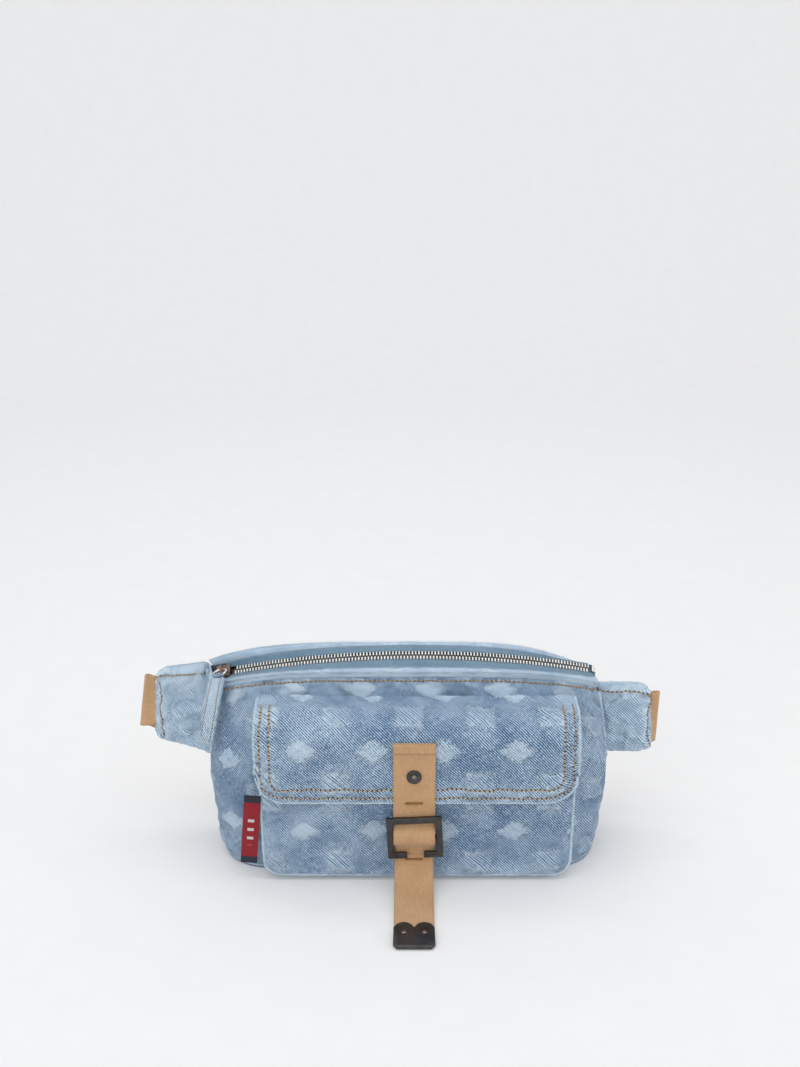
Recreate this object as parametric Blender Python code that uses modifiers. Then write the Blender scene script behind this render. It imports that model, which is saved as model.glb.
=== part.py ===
"""Denim waist pack: curved-zip main compartment, flap pocket with a webbing strap and a hook buckle,
two belt wings and a folded webbing belt with a side-release buckle.

Metres. -Y is the front, +X is to the right seen from the front, +Z is up, and the origin is under the
middle of the base. Cloth pieces are lofted sheets with a Solidify modifier; touching pieces keep a gap.
"""

import math

import bmesh
import bpy
from mathutils import Matrix, Vector

# Body shell
BASE_HALF_WIDTH = 0.139
BASE_FRONT_Y = -0.028
BASE_BACK_Y = 0.0375
BASE_CORNER_R = 0.036
BASE_T = 0.0022
SHELL_Z = 0.003
FRONT_BULGE = 0.010
SIDE_BULGE = 0.008
BACK_BULGE = 0.004
DENIM_T = 0.0012
LINING_INSET = 0.0042
GAP = 0.0004

# Curves round the top: (left end, middle, right end)
SEAM = (Vector((-0.139, 0.018, 0.1278)), Vector((0, -0.008, 0.148)), Vector((0.137, 0.014, 0.130)))
ZIP = (Vector((-0.140, 0.028, 0.1325)), Vector((0, 0.009, 0.1545)), Vector((0.138, 0.025, 0.1365)))
RIM = (Vector((-0.149, 0.036, 0.139)), Vector((0, 0.027, 0.157)), Vector((0.139, 0.034, 0.126)))
EDGE_POWER = 4

# Zip
TEETH_INNER = 0.0005
TEETH_OUTER = 0.0029
TEETH_T = 0.0024
TAPE_START = 0.0042
TAPE_T = 0.0007
BINDING_W = 0.0046
ZIP_START, ZIP_END = 0.05, 0.975
STOP_AT = 0.987
STOP_SIZE = (0.0028, 0.0050)
SLIDER_AT = 0.020
SLIDER_LENGTH = 0.011
SLIDER_WIDTH = 0.0090
SLIDER_FLANGE = 0.0013
SLIDER_WEB = 0.0005
SLIDER_INSIDE = 0.0034
BRIDGE_R = 0.0031
BRIDGE_WIRE_R = 0.0007
RING_R = 0.0050
RING_WIRE_R = 0.0007
RING_DIRECTION = Vector((-0.14, -0.98, -0.12)).normalized()
TAB_TOP_DIRECTION = Vector((-0.14, -0.80, -0.58)).normalized()
TAB_END_DIRECTION = Vector((-0.20, -0.20, -0.96)).normalized()
TAB_LENGTH = 0.050
TAB_WIDTH = 0.0125
TAB_T = 0.0026

# Pocket
POCKET_X = (-0.105, 0.117)
POCKET_Z = (0.0045, 0.1120)
POCKET_Y = -0.0445
POCKET_BULGE = 0.001
POCKET_CORNER_R = 0.013
POCKET_BACK_RISE = 0.006

# Flap
FLAP_X = (-0.107, 0.118)
FLAP_HINGE_Y = -0.0185
FLAP_HINGE_Z = 0.1295
FLAP_FRONT_Y = -0.0492
FLAP_SHOULDER_Z = 0.104
FLAP_BOTTOM_Z = 0.067
FLAP_CORNER_R = 0.021
FLAP_LINING_T = 0.0008

# Front strap, snap and hook buckle
STRAP_X = 0.00365
STRAP_W = 0.0299
STRAP_T = 0.0014
STRAP_TOP_Z = 0.1135
STRAP_Y = FLAP_FRONT_Y - DENIM_T - 0.0003 - STRAP_T / 2
SNAP_Z = 0.0885
SNAP_CAP_R = 0.0056
SNAP_CAP_T = 0.0021
SOCKET_R = (0.0036, 0.0062)
STUD_R = 0.0029
HOOK_HINGE_Z = 0.0600
HOOK_TILT = math.radians(-2.5)
HOOK_SIZE = (0.0394, 0.0325)
HOOK_BAR = 0.0046
HOOK_T = 0.003
HOOK_CENTRE_Z = 0.04125
HOOK_Y = -0.0545
HOOK_SLOT = 0.0118
HOOK_STRAP_W = 0.0292
TAIL_START_Z = 0.0238
TAIL_END_Y = -0.1125
TIP_Y = (-0.1335, -0.1046)
TIP_W = 0.0283
TIP_LOBE = 0.0065
TIP_T = 0.0008
TIP_RIVET_R = 0.0022

# Label
LABEL_SIZE = (0.0118, 0.055)
LABEL_CENTRE = Vector((-0.1130, -0.0462, 0.0432))
LABEL_TILT = math.radians(6)
LABEL_T = 0.0008

# Wings: inner Y, outer Y, outer X at the top and bottom, Z of the corners
WING_LEFT = {"side": -1, "y": (0.0378, 0.0445), "outer_x": (0.1885, 0.1930), "outer_z": (0.0715, 0.130),
             "inner_z": (0.058, 0.1370), "inner_x": (0.1422, 0.1508)}
WING_RIGHT = {"side": 1, "y": (0.0378, 0.0335), "outer_x": (0.1790, 0.1835), "outer_z": (0.067, 0.1225),
              "inner_z": (0.0655, 0.1215), "inner_x": (0.1405, 0.1405)}
WING_CORNER_R = 0.010
WING_PLY_OFFSET = 0.0011

# Belt
BELT_W = 0.040
BELT_T = 0.0014
BELT_Z = 0.079
BELT_LEFT_FOLD = Vector((-0.2000, 0.103))
BELT_LEFT_Y = (0.0446, 0.0500, 0.0535, 0.0570)
BELT_SLOPE = math.radians(27)
BELT_SAG_Z = 0.058
BELT_FOLD_X = (0.022, -0.098)
BELT_TAIL_X = -0.034
BELT_LAYER = 0.0024
BUCKLE_Y = 0.0525
BUCKLE_H = 0.052
FEMALE_X = (0.104, 0.1408, 0.150)
MALE_X = (0.061, 0.1035, 0.131)
KEEPER_X = -0.008
KEEPER_W = 0.009

DENIM = ((0.36, 0.50, 0.66), 0.85, 0.0)
DENIM_DARK = ((0.25, 0.38, 0.55), 0.85, 0.0)
LINING = ((0.16, 0.20, 0.26), 0.8, 0.0)
TAPE = ((0.20, 0.36, 0.50), 0.8, 0.0)
SILVER = ((0.72, 0.72, 0.70), 0.3, 1.0)
WEBBING = ((0.62, 0.38, 0.19), 0.8, 0.0)
GUNMETAL = ((0.06, 0.06, 0.065), 0.45, 0.8)
THREAD = ((0.62, 0.30, 0.08), 0.7, 0.0)
LABEL_RED = ((0.40, 0.03, 0.06), 0.7, 0.0)
BLACK_PLASTIC = ((0.02, 0.02, 0.022), 0.4, 0.0)


# ---------------------------------------------------------------- scene and helpers

def clear_scene():
    for obj in list(bpy.data.objects):
        bpy.data.objects.remove(obj, do_unlink=True)


def material(name, finish):
    made = bpy.data.materials.new(name)
    made.use_nodes = True
    shader = made.node_tree.nodes["Principled BSDF"]
    colour, roughness, metallic = finish
    shader.inputs["Base Color"].default_value = (*colour, 1)
    shader.inputs["Roughness"].default_value = roughness
    shader.inputs["Metallic"].default_value = metallic
    return made


def collection(name):
    made = bpy.data.collections.new(name)
    bpy.context.scene.collection.children.link(made)
    return made


def place(name, data, finish, parent=None):
    """Links a new object; with a parent, its data is moved so that it keeps its world place."""
    obj = bpy.data.objects.new(name, data)
    obj.data.materials.append(material(name, finish))
    PARTS.objects.link(obj)
    if parent is not None:
        obj.parent = parent
        obj.matrix_parent_inverse = parent.matrix_world.inverted()
    return obj


def pivot(name, point, parent=None):
    """An empty on a joint's axis, which the moving pieces hang from."""
    obj = bpy.data.objects.new(name, None)
    PARTS.objects.link(obj)
    obj.location = point
    obj.empty_display_size = 0.01
    bpy.context.view_layer.update()
    if parent is not None:
        obj.parent = parent
        obj.matrix_parent_inverse = parent.matrix_world.inverted()
        bpy.context.view_layer.update()
    return obj


def sheet(name, rows, thickness, finish, offset=-1.0, parent=None):
    """A cloth or metal sheet through rows of points; offset -1 puts its thickness behind the normal."""
    bm = bmesh.new()
    grid = [[bm.verts.new(point) for point in row] for row in rows]
    for low, high in zip(grid, grid[1:]):
        for k in range(len(low) - 1):
            bm.faces.new((low[k], low[k + 1], high[k + 1], high[k]))
    data = bpy.data.meshes.new(name)
    bm.to_mesh(data)
    bm.free()
    obj = place(name, data, finish, parent)
    solid = obj.modifiers.new("Thickness", "SOLIDIFY")
    solid.thickness = thickness
    solid.offset = offset
    solid.use_even_offset = True
    return obj


def flat(name, outlines, thickness, frame, finish, parent=None):
    """A flat outline with holes, extruded to its thickness about the plane of frame."""
    data = bpy.data.curves.new(name, "CURVE")
    data.dimensions = "2D"
    data.fill_mode = "BOTH"
    data.extrude = thickness / 2
    for outline in outlines:
        spline = data.splines.new("POLY")
        spline.points.add(len(outline) - 1)
        for point, (x, y) in zip(spline.points, outline):
            point.co = (x, y, 0, 1)
        spline.use_cyclic_u = True
    obj = place(name, data, finish)
    obj.matrix_world = frame
    bpy.context.view_layer.update()
    if parent is not None:
        obj.parent = parent
        obj.matrix_parent_inverse = parent.matrix_world.inverted()
    return obj


def box(name, low, high, finish=None, parent=None, bevel=0.0):
    """A box between two corners; without a finish it is a cutter."""
    bm = bmesh.new()
    bmesh.ops.create_cube(bm, size=1)
    low, high = Vector(low), Vector(high)
    middle, size = (low + high) / 2, high - low
    bmesh.ops.transform(bm, matrix=Matrix.Translation(middle) @ Matrix.Diagonal((*size, 1)), verts=bm.verts)
    if bevel:
        bmesh.ops.bevel(bm, geom=bm.edges, offset=bevel, segments=2, affect="EDGES")
    data = bpy.data.meshes.new(name)
    bm.to_mesh(data)
    bm.free()
    if finish is not None:
        return place(name, data, finish, parent)
    obj = bpy.data.objects.new(name, data)
    CUTTERS.objects.link(obj)
    obj.hide_render = True
    obj.display_type = "WIRE"
    return obj


def cut(obj, cutter, operation="DIFFERENCE"):
    boolean = obj.modifiers.new(cutter.name, "BOOLEAN")
    boolean.operation = operation
    boolean.object = cutter


def frame_of(x_axis, y_axis, origin):
    """A placing matrix from two axes of a plane; the third is their cross product."""
    x_axis = Vector(x_axis).normalized()
    z_axis = x_axis.cross(Vector(y_axis)).normalized()
    y_axis = z_axis.cross(x_axis)
    matrix = Matrix((x_axis, y_axis, z_axis)).transposed().to_4x4()
    matrix.translation = origin
    return matrix


def circle(radius, count=20, centre=(0, 0)):
    return [(centre[0] + radius * math.cos(2 * math.pi * k / count),
             centre[1] + radius * math.sin(2 * math.pi * k / count)) for k in range(count)]


def rounded_box(width, height, radius, centre=(0, 0), steps=4):
    points = []
    for quarter, (sx, sy) in enumerate(((1, 1), (-1, 1), (-1, -1), (1, -1))):
        corner = (centre[0] + sx * (width / 2 - radius), centre[1] + sy * (height / 2 - radius))
        for k in range(steps + 1):
            angle = math.pi / 2 * (quarter + k / steps)
            points.append((corner[0] + radius * math.cos(angle), corner[1] + radius * math.sin(angle)))
    return points


def spread(low, high, count):
    return [low + (high - low) * k / (count - 1) for k in range(count)]


def lerp(a, b, t):
    return a * (1 - t) + b * t


# ---------------------------------------------------------------- shape of the body

def edge_curve(ends, t):
    """Point at t in 0..1 on a curve that is flat in the middle and falls away at its ends."""
    left, middle, right = ends
    u = 2 * t - 1
    end = left if u < 0 else right
    drop = abs(u) ** EDGE_POWER
    point = lerp(middle, end, drop)
    point.x = abs(u) * end.x
    return point


def circle_through(a, b, c):
    """Centre and unit axis of the circle through three points, counter-clockwise from a to c."""
    ab, ac = b - a, c - a
    normal = ab.cross(ac)
    to_centre = normal.cross(ab) * ac.length_squared + ac.cross(normal) * ab.length_squared
    return a + to_centre / (2 * normal.length_squared), normal.normalized()


ZIP_CENTRE, ZIP_AXIS = circle_through(*ZIP)
ZIP_FRONT = -ZIP_AXIS if ZIP_AXIS.y > 0 else ZIP_AXIS.copy()


def zip_angle():
    first, last = ZIP[0] - ZIP_CENTRE, ZIP[2] - ZIP_CENTRE
    return math.atan2(first.cross(last).dot(ZIP_AXIS), first.dot(last))


def zip_point(t):
    turn = Matrix.Rotation(zip_angle() * t, 3, ZIP_AXIS)
    return ZIP_CENTRE + turn @ (ZIP[0] - ZIP_CENTRE)


def zip_frame(t):
    """Tangent, outward and front directions at t on the zip."""
    outward = (zip_point(t) - ZIP_CENTRE).normalized()
    tangent = ZIP_AXIS.cross(outward).normalized()
    return tangent, outward, ZIP_FRONT


def edge_share(ends, t):
    """Where along an edge curve a band from the zip at t meets it: straight across, fanned at the ends."""
    u = 2 * t - 1
    end = 0 if u < 0 else 2
    fan = lerp(abs(ZIP[end].x / ends[end].x), 1, abs(u) ** 8)
    return (zip_point(t).x / abs(ZIP[end].x) * fan + 1) / 2


def base_path(t):
    """Front outline of the base from its left side to its right side, with the outward direction."""
    arc = BASE_CORNER_R * math.pi / 2
    flat_run = 2 * (BASE_HALF_WIDTH - BASE_CORNER_R)
    along = t * (2 * arc + flat_run)
    inner_x = BASE_HALF_WIDTH - BASE_CORNER_R
    inner_y = BASE_FRONT_Y + BASE_CORNER_R
    if along < arc:
        angle = along / BASE_CORNER_R
        out = Vector((-math.cos(angle), -math.sin(angle), 0))
        return Vector((-inner_x, inner_y, SHELL_Z)) + out * BASE_CORNER_R, out
    if along < arc + flat_run:
        return Vector((-inner_x + along - arc, BASE_FRONT_Y, SHELL_Z)), Vector((0, -1, 0))
    angle = (along - arc - flat_run) / BASE_CORNER_R
    out = Vector((math.sin(angle), -math.cos(angle), 0))
    return Vector((inner_x, inner_y, SHELL_Z)) + out * BASE_CORNER_R, out


def front_point(t, v, inset=0.0):
    low, out = base_path(t)
    top = edge_curve(SEAM, (low.x / BASE_HALF_WIDTH + 1) / 2)
    bulge = lerp(FRONT_BULGE, SIDE_BULGE, out.x ** 2)
    return lerp(low, top, v) + out * (bulge * math.sin(math.pi * v) - inset)


def side_point(side, w, v, inset=0.0):
    """w runs from the front panel's edge to the back panel's edge."""
    end = 0 if side < 0 else 2
    low = Vector((side * BASE_HALF_WIDTH, lerp(BASE_FRONT_Y + BASE_CORNER_R, BASE_BACK_Y, w), SHELL_Z))
    top = lerp(SEAM[end], RIM[end], w)
    bulge = lerp(SIDE_BULGE, 0.0015, w)
    return lerp(low, top, v) + Vector((side, 0, 0)) * (bulge * math.sin(math.pi * v) - inset)


def back_point(t, v, inset=0.0):
    """t runs from the right edge to the left edge, so that the outside faces +Y."""
    low = Vector((lerp(1, -1, t) * (BASE_HALF_WIDTH - 0.0025), BASE_BACK_Y, SHELL_Z))
    top = edge_curve(RIM, 1 - t)
    bulge = BACK_BULGE * math.sin(math.pi * v) * math.sin(math.pi * t) ** 0.5
    return lerp(low, top, v) + Vector((0, bulge - inset, 0))


def front_y(x, z):
    """Y of the front panel's outside at a place seen from the front."""
    t, v = 0.5 + x / (2.4 * BASE_HALF_WIDTH), (z - SHELL_Z) / SEAM[1].z
    for _ in range(12):
        point = front_point(t, v)
        t += (x - point.x) / (2.3 * BASE_HALF_WIDTH)
        v += (z - point.z) / SEAM[1].z
    return front_point(t, v).y


def make_shell():
    columns = spread(0.003, 0.997, 25)
    sheet("front_panel", [[front_point(t, v) for t in columns] for v in spread(0, 0.985, 7)], DENIM_T, DENIM)
    for side, name in ((-1, "side_gusset_left"), (1, "side_gusset_right")):
        across = spread(0.03, 0.90, 3)
        if side < 0:
            across = across[::-1]
        sheet(name, [[side_point(side, w, v) for w in across] for v in spread(0, 0.98, 6)], DENIM_T, DENIM)
    sheet("back_panel", [[back_point(t, v) for t in spread(0.003, 0.997, 17)] for v in spread(0, 0.965, 5)],
          DENIM_T, DENIM_DARK)
    front = [base_path(t)[0] for t in spread(0, 1, 21)]
    outline = [(p.x, p.y) for p in front]
    outline += [(BASE_HALF_WIDTH, BASE_BACK_Y), (-BASE_HALF_WIDTH, BASE_BACK_Y)]
    flat("base_panel", [outline], BASE_T, Matrix.Translation((0, 0, BASE_T / 2)), DENIM_DARK)


def make_lining():
    """An open-topped bag just inside the shell."""
    def ring(v):
        points = [front_point(t, v, LINING_INSET) for t in spread(0.03, 0.97, 15)]
        points += [side_point(1, w, v, LINING_INSET) for w in (0.25, 0.7)]
        back = [back_point(t, v, LINING_INSET) for t in spread(0.04, 0.96, 9)]
        points += back
        points += [side_point(-1, w, v, LINING_INSET) for w in (0.7, 0.25)]
        return points

    bm = bmesh.new()
    rings = [[bm.verts.new(point) for point in ring(v)] for v in spread(0.02, 0.86, 5)]
    for low, high in zip(rings, rings[1:]):
        for k in range(len(low)):
            following = (k + 1) % len(low)
            bm.faces.new((low[k], low[following], high[following], high[k]))
    bm.faces.new(rings[0][::-1])
    data = bpy.data.meshes.new("main_lining")
    bm.to_mesh(data)
    bm.free()
    obj = place("main_lining", data, LINING)
    solid = obj.modifiers.new("Thickness", "SOLIDIFY")
    solid.thickness = 0.0006
    solid.offset = -1


# ---------------------------------------------------------------- zip

def zip_band(name, low, high, ends, thickness, finish, offset, steps=25, start=0.0, stop=1.0):
    """A band beside the chain from low to high metres out, or back from the edge where negative."""
    rows = []
    front_side = ends is SEAM
    for distance in (low, high):
        row = []
        for t in spread(start, stop, steps):
            middle = zip_point(t)
            side = ZIP_FRONT if front_side else -ZIP_FRONT
            root = middle + side * TAPE_START
            away = edge_curve(ends, edge_share(ends, t)) - root
            reach = distance - TAPE_START if distance > 0 else away.length + distance
            row.append(root + away.normalized() * reach)
        rows.append(row)
    if front_side:
        rows = rows[::-1]
    return sheet(name, rows, thickness, finish, offset)


def make_zip():
    for name, sign in (("zip_teeth_front", 1), ("zip_teeth_rear", -1)):
        rows = []
        for distance in (TEETH_INNER, TEETH_OUTER):
            rows.append([zip_point(t) + ZIP_FRONT * sign * distance for t in spread(ZIP_START, ZIP_END, 33)])
        if sign > 0:
            rows = rows[::-1]
        sheet(name, rows, TEETH_T, SILVER, 0)
    zip_band("zip_tape_front", TAPE_START, -BINDING_W - GAP, SEAM, TAPE_T, TAPE, 0, start=0.03, stop=0.985)
    zip_band("front_binding", -BINDING_W, -GAP, SEAM, DENIM_T, DENIM, 0, start=0.012, stop=0.99)
    zip_band("zip_tape_rear", TAPE_START, -BINDING_W - GAP, RIM, TAPE_T, TAPE, 0, start=0.03, stop=0.985)
    zip_band("rear_binding", -BINDING_W, -GAP, RIM, DENIM_T, DENIM, 0, start=0.012, stop=0.99)
    tangent, _, front = zip_frame(STOP_AT)
    flat("zip_bottom_stop", [rounded_box(*STOP_SIZE, 0.0006)], TEETH_T,
         frame_of(tangent, -front, zip_point(STOP_AT)), SILVER)


def slider_places():
    """Bridge centre, hold point on the ring, ring centre and ring bottom, all at rest."""
    _, outward, front = zip_frame(SLIDER_AT)
    plate_top = SLIDER_INSIDE / 2 + SLIDER_FLANGE
    bridge = zip_point(SLIDER_AT) + outward * (plate_top + BRIDGE_WIRE_R + 0.0003)
    hold = bridge + outward * (BRIDGE_R - BRIDGE_WIRE_R - RING_WIRE_R - 0.0003)
    ring = hold + RING_DIRECTION * RING_R
    ring_bottom = ring + RING_DIRECTION * RING_R
    return bridge, hold, ring, ring_bottom


def make_slider():
    tangent, outward, front = zip_frame(SLIDER_AT)
    centre = zip_point(SLIDER_AT)
    bridge, hold, ring, ring_bottom = slider_places()
    slider_pivot = pivot("zip_travel_axis", ZIP_CENTRE)
    half, inside = SLIDER_WIDTH / 2, SLIDER_INSIDE / 2
    top, web = inside + SLIDER_FLANGE, SLIDER_WEB / 2
    quarter = [(web, inside), (half, inside), (half, top)]
    outline = quarter + [(-x, z) for x, z in quarter[::-1]]
    outline += [(-x, -z) for x, z in quarter] + [(x, -z) for x, z in quarter[::-1]]
    flat("zip_slider", [outline], SLIDER_LENGTH, frame_of(front, outward, centre), SILVER, slider_pivot)

    data = bpy.data.curves.new("slider_bridge", "CURVE")
    data.dimensions = "3D"
    data.bevel_depth = BRIDGE_WIRE_R
    data.bevel_resolution = 2
    data.use_fill_caps = True
    spline = data.splines.new("POLY")
    angles = spread(0, math.pi, 9)
    spline.points.add(len(angles) - 1)
    for point, angle in zip(spline.points, angles):
        place_at = bridge + front * (BRIDGE_R * math.cos(angle)) + outward * (BRIDGE_R * math.sin(angle))
        point.co = (*place_at, 1)
    place("slider_bridge", data, SILVER, slider_pivot)

    ring_pivot = pivot("ring_lift_axis", hold, slider_pivot)
    across = RING_DIRECTION.cross(tangent).cross(RING_DIRECTION).normalized()
    bpy.ops.mesh.primitive_torus_add(major_radius=RING_R, minor_radius=RING_WIRE_R, major_segments=20,
                                     minor_segments=8)
    torus = bpy.context.object
    torus.name = "pull_ring"
    for linked in list(torus.users_collection):
        linked.objects.unlink(torus)
    PARTS.objects.link(torus)
    torus.data.materials.append(material("pull_ring", SILVER))
    torus.matrix_world = frame_of(across, RING_DIRECTION, ring)
    bpy.context.view_layer.update()
    torus.parent = ring_pivot
    torus.matrix_parent_inverse = ring_pivot.matrix_world.inverted()

    tab_pivot = pivot("tab_swing_axis", ring_bottom, ring_pivot)
    steps = 9
    middle = ring_bottom + TAB_TOP_DIRECTION * (RING_WIRE_R + TAB_T / 2 + 0.0004)
    rows = []
    for share in spread(0, 1, steps):
        direction = lerp(TAB_TOP_DIRECTION, TAB_END_DIRECTION, min(1, 2.2 * share)).normalized()
        width = direction.cross(tangent).cross(direction).normalized()
        rows.append([middle - width * TAB_WIDTH / 2, middle, middle + width * TAB_WIDTH / 2])
        middle = middle + direction * TAB_LENGTH / (steps - 1)
    sheet("pull_tab", rows[::-1], TAB_T, DENIM, 0, tab_pivot)


# ---------------------------------------------------------------- pocket and flap

def rounded_bottom(x, span, low, radius):
    """Z of a lower edge at x, with rounded corners at both ends of span."""
    reach = min(x - span[0], span[1] - x)
    if reach >= radius:
        return low
    return low + radius - math.sqrt(max(0.0, radius ** 2 - (radius - reach) ** 2))


def corner_columns(span, radius, middle=7, corner=4):
    """Places across a sheet, closer together in its rounded corners."""
    steps = [radius * (1 - math.cos(math.pi / 2 * k / corner)) for k in range(1, corner)]
    ends = [0.0003] + steps
    left = [span[0] + step for step in ends]
    right = [span[1] - step for step in ends[::-1]]
    return left + spread(span[0] + radius, span[1] - radius, middle) + right


def make_pocket():
    def surface(x, z, inset=0.0):
        across = 2 * (x - POCKET_X[0]) / (POCKET_X[1] - POCKET_X[0]) - 1
        return Vector((x, POCKET_Y - POCKET_BULGE * (1 - across ** 2) + inset, z))

    columns = corner_columns(POCKET_X, POCKET_CORNER_R)
    rows = []
    for v in spread(0, 1, 6):
        lows = [rounded_bottom(x, POCKET_X, POCKET_Z[0], POCKET_CORNER_R) for x in columns]
        rows.append([surface(x, lerp(low, POCKET_Z[1], v)) for x, low in zip(columns, lows)])
    sheet("pocket_front", rows, DENIM_T, DENIM)

    inner = (POCKET_X[0] + 0.004, POCKET_X[1] - 0.004)
    rows = [[surface(x, z, DENIM_T + 0.0004) for x in spread(inner[0], inner[1], 7)]
            for z in (POCKET_Z[0] + 0.014, POCKET_Z[1] - 0.004)]
    sheet("pocket_lining", rows, 0.0005, LINING)

    turn = POCKET_CORNER_R
    centre_z = POCKET_Z[0] + turn
    angles = spread(0, math.pi / 2, 6)
    path = [(POCKET_X[0], z) for z in spread(POCKET_Z[1], centre_z, 5)[:-1]]
    path += [(POCKET_X[0] + turn * (1 - math.cos(a)), centre_z - turn * math.sin(a)) for a in angles]
    path += [(x, POCKET_Z[0]) for x in spread(POCKET_X[0] + turn, POCKET_X[1] - turn, 7)[1:-1]]
    path += [(POCKET_X[1] - turn * (1 - math.sin(a)), centre_z - turn * math.cos(a)) for a in angles]
    path += [(POCKET_X[1], z) for z in spread(centre_z, POCKET_Z[1], 5)[1:]]
    front_edge, back_edge = [], []
    for x, z in path:
        rise = POCKET_BACK_RISE * (z - POCKET_Z[0]) / (POCKET_Z[1] - POCKET_Z[0])
        front_edge.append(Vector((x, POCKET_Y + DENIM_T + 0.0005, z)))
        back_edge.append(Vector((x, front_y(x, z + rise) - 0.0009, z + rise)))
    sheet("pocket_gusset", [front_edge, back_edge], DENIM_T, DENIM, -1)


def flap_profile(s, inset=0.0):
    """Y and Z down the flap: a rounded shoulder, then a straight front, for s in 0..1."""
    reach_y = FLAP_HINGE_Y - FLAP_FRONT_Y - inset
    reach_z = FLAP_HINGE_Z - FLAP_SHOULDER_Z - inset
    shoulder = 0.5
    if s < shoulder:
        angle = math.pi / 2 * s / shoulder
        return (FLAP_HINGE_Y - reach_y * math.sin(angle) ** 0.9,
                FLAP_SHOULDER_Z + reach_z * math.cos(angle) ** 0.9)
    return FLAP_FRONT_Y + inset, lerp(FLAP_SHOULDER_Z, FLAP_BOTTOM_Z, (s - shoulder) / (1 - shoulder))


def flap_rows(inset, margin):
    span = (FLAP_X[0] + margin, FLAP_X[1] - margin)
    rows = []
    for s in spread(1, 0, 11):
        row = []
        for x in corner_columns(span, FLAP_CORNER_R):
            edge = rounded_bottom(x, span, 0, FLAP_CORNER_R) + margin
            y, z = flap_profile(s, inset)
            straight = max(0.0, (FLAP_SHOULDER_Z - z) / (FLAP_SHOULDER_Z - FLAP_BOTTOM_Z))
            row.append(Vector((x, y, z + edge * straight)))
        rows.append(row)
    return rows


def make_flap():
    hinge = pivot("flap_lift_axis", (0, FLAP_HINGE_Y, FLAP_HINGE_Z))
    sheet("flap_outer", flap_rows(0, 0), DENIM_T, DENIM, 1, hinge)
    sheet("flap_lining", flap_rows(0.0003, 0.002), FLAP_LINING_T, LINING, -1, hinge)
    return hinge


# ---------------------------------------------------------------- front strap

def webbing(name, path, width, thickness, finish, parent=None, x=STRAP_X):
    """A strap of constant width along X that follows (y, z) points."""
    rows = [[Vector((x - width / 2, y, z)), Vector((x + width / 2, y, z))] for y, z in path]
    return sheet(name, rows, thickness, finish, 0, parent)


def disc(name, radius, thickness, centre, finish, parent=None, hole=0.0):
    """A round plate that faces -Y."""
    outlines = [circle(radius)]
    if hole:
        outlines.append(circle(hole))
    return flat(name, outlines, thickness, frame_of((1, 0, 0), (0, 0, 1), centre), finish, parent)


def make_strap(flap_hinge):
    path = [(STRAP_Y, z) for z in (HOOK_HINGE_Z + 0.0008, 0.085, STRAP_TOP_Z)]
    webbing("flap_strap", path, STRAP_W, STRAP_T, WEBBING, flap_hinge)
    front = STRAP_Y - STRAP_T / 2 - 0.0003
    disc("snap_cap", SNAP_CAP_R, SNAP_CAP_T, (STRAP_X, front - SNAP_CAP_T / 2, SNAP_Z), GUNMETAL, flap_hinge)
    disc("snap_stud", STUD_R, 0.0015, (STRAP_X, FLAP_FRONT_Y + 0.0022, SNAP_Z), GUNMETAL, flap_hinge)
    disc("snap_socket", SOCKET_R[1], 0.0013, (STRAP_X, POCKET_Y - POCKET_BULGE - 0.0011, SNAP_Z), GUNMETAL,
         None, SOCKET_R[0])
    bar_tack("bar_tack_upper", (STRAP_X, front - 0.0004, 0.0676), flap_hinge)

    hook_hinge = pivot("hook_swing_axis", (STRAP_X, STRAP_Y, HOOK_HINGE_Z), flap_hinge)
    make_hook(hook_hinge)
    tail_hinge = pivot("tail_swing_axis", (STRAP_X, STRAP_Y, TAIL_START_Z + 0.0006), hook_hinge)
    make_tail(tail_hinge)


def bar_tack(name, centre, parent):
    outline = rounded_box(0.0125, 0.0016, 0.0007)
    return flat(name, [outline], 0.0006, frame_of((1, 0, 0), (0, 0, 1), centre), THREAD, parent)


def make_hook(hinge):
    width, height = HOOK_SIZE
    turned = Matrix.Rotation(HOOK_TILT, 4, "Y")
    centre = Vector((STRAP_X + 0.0006, HOOK_Y, HOOK_CENTRE_Z))
    plane = Matrix.Translation(centre) @ turned @ frame_of((1, 0, 0), (0, 0, 1), (0, 0, 0))
    gap, bar = HOOK_SLOT / 2, HOOK_BAR
    right = [(gap, -height / 2), (width / 2, -height / 2), (width / 2, height / 2)]
    inner_x, inner_y = width / 2 - bar, height / 2 - bar
    outline = right + [(-x, y) for x, y in right[::-1]]
    outline += [(-gap, -inner_y), (-inner_x, -inner_y), (-inner_x, inner_y), (inner_x, inner_y)]
    outline += [(inner_x, -inner_y), (gap, -inner_y)]
    rear_bar = box("hook_centre_bar", (-inner_x - 0.001, -0.0019, 0.0002), (inner_x + 0.001, 0.0019, 0.0015))
    rear_bar.matrix_world = plane @ Matrix.Diagonal((1, 1, -1, 1))
    data = flat_mesh("hook_buckle", [outline], HOOK_T)
    frame = place("hook_buckle", data, GUNMETAL)
    frame.matrix_world = plane
    bpy.context.view_layer.update()
    frame.parent = hinge
    frame.matrix_parent_inverse = hinge.matrix_world.inverted()
    rear_bar.data.flip_normals()
    cut(frame, rear_bar, "UNION")

    path = [(STRAP_Y, HOOK_HINGE_Z - 0.0008), (STRAP_Y, 0.0520), (STRAP_Y - 0.0010, 0.0495)]
    path += [(HOOK_Y - 0.0020, 0.0450), (HOOK_Y - 0.0024, 0.0415), (HOOK_Y - 0.0020, 0.0380)]
    path += [(STRAP_Y - 0.0010, 0.0335), (STRAP_Y, 0.0312), (STRAP_Y, TAIL_START_Z + 0.0008)]
    webbing("strap_in_buckle", path[::-1], HOOK_STRAP_W, STRAP_T, WEBBING, hinge, STRAP_X + 0.0004)


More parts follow.
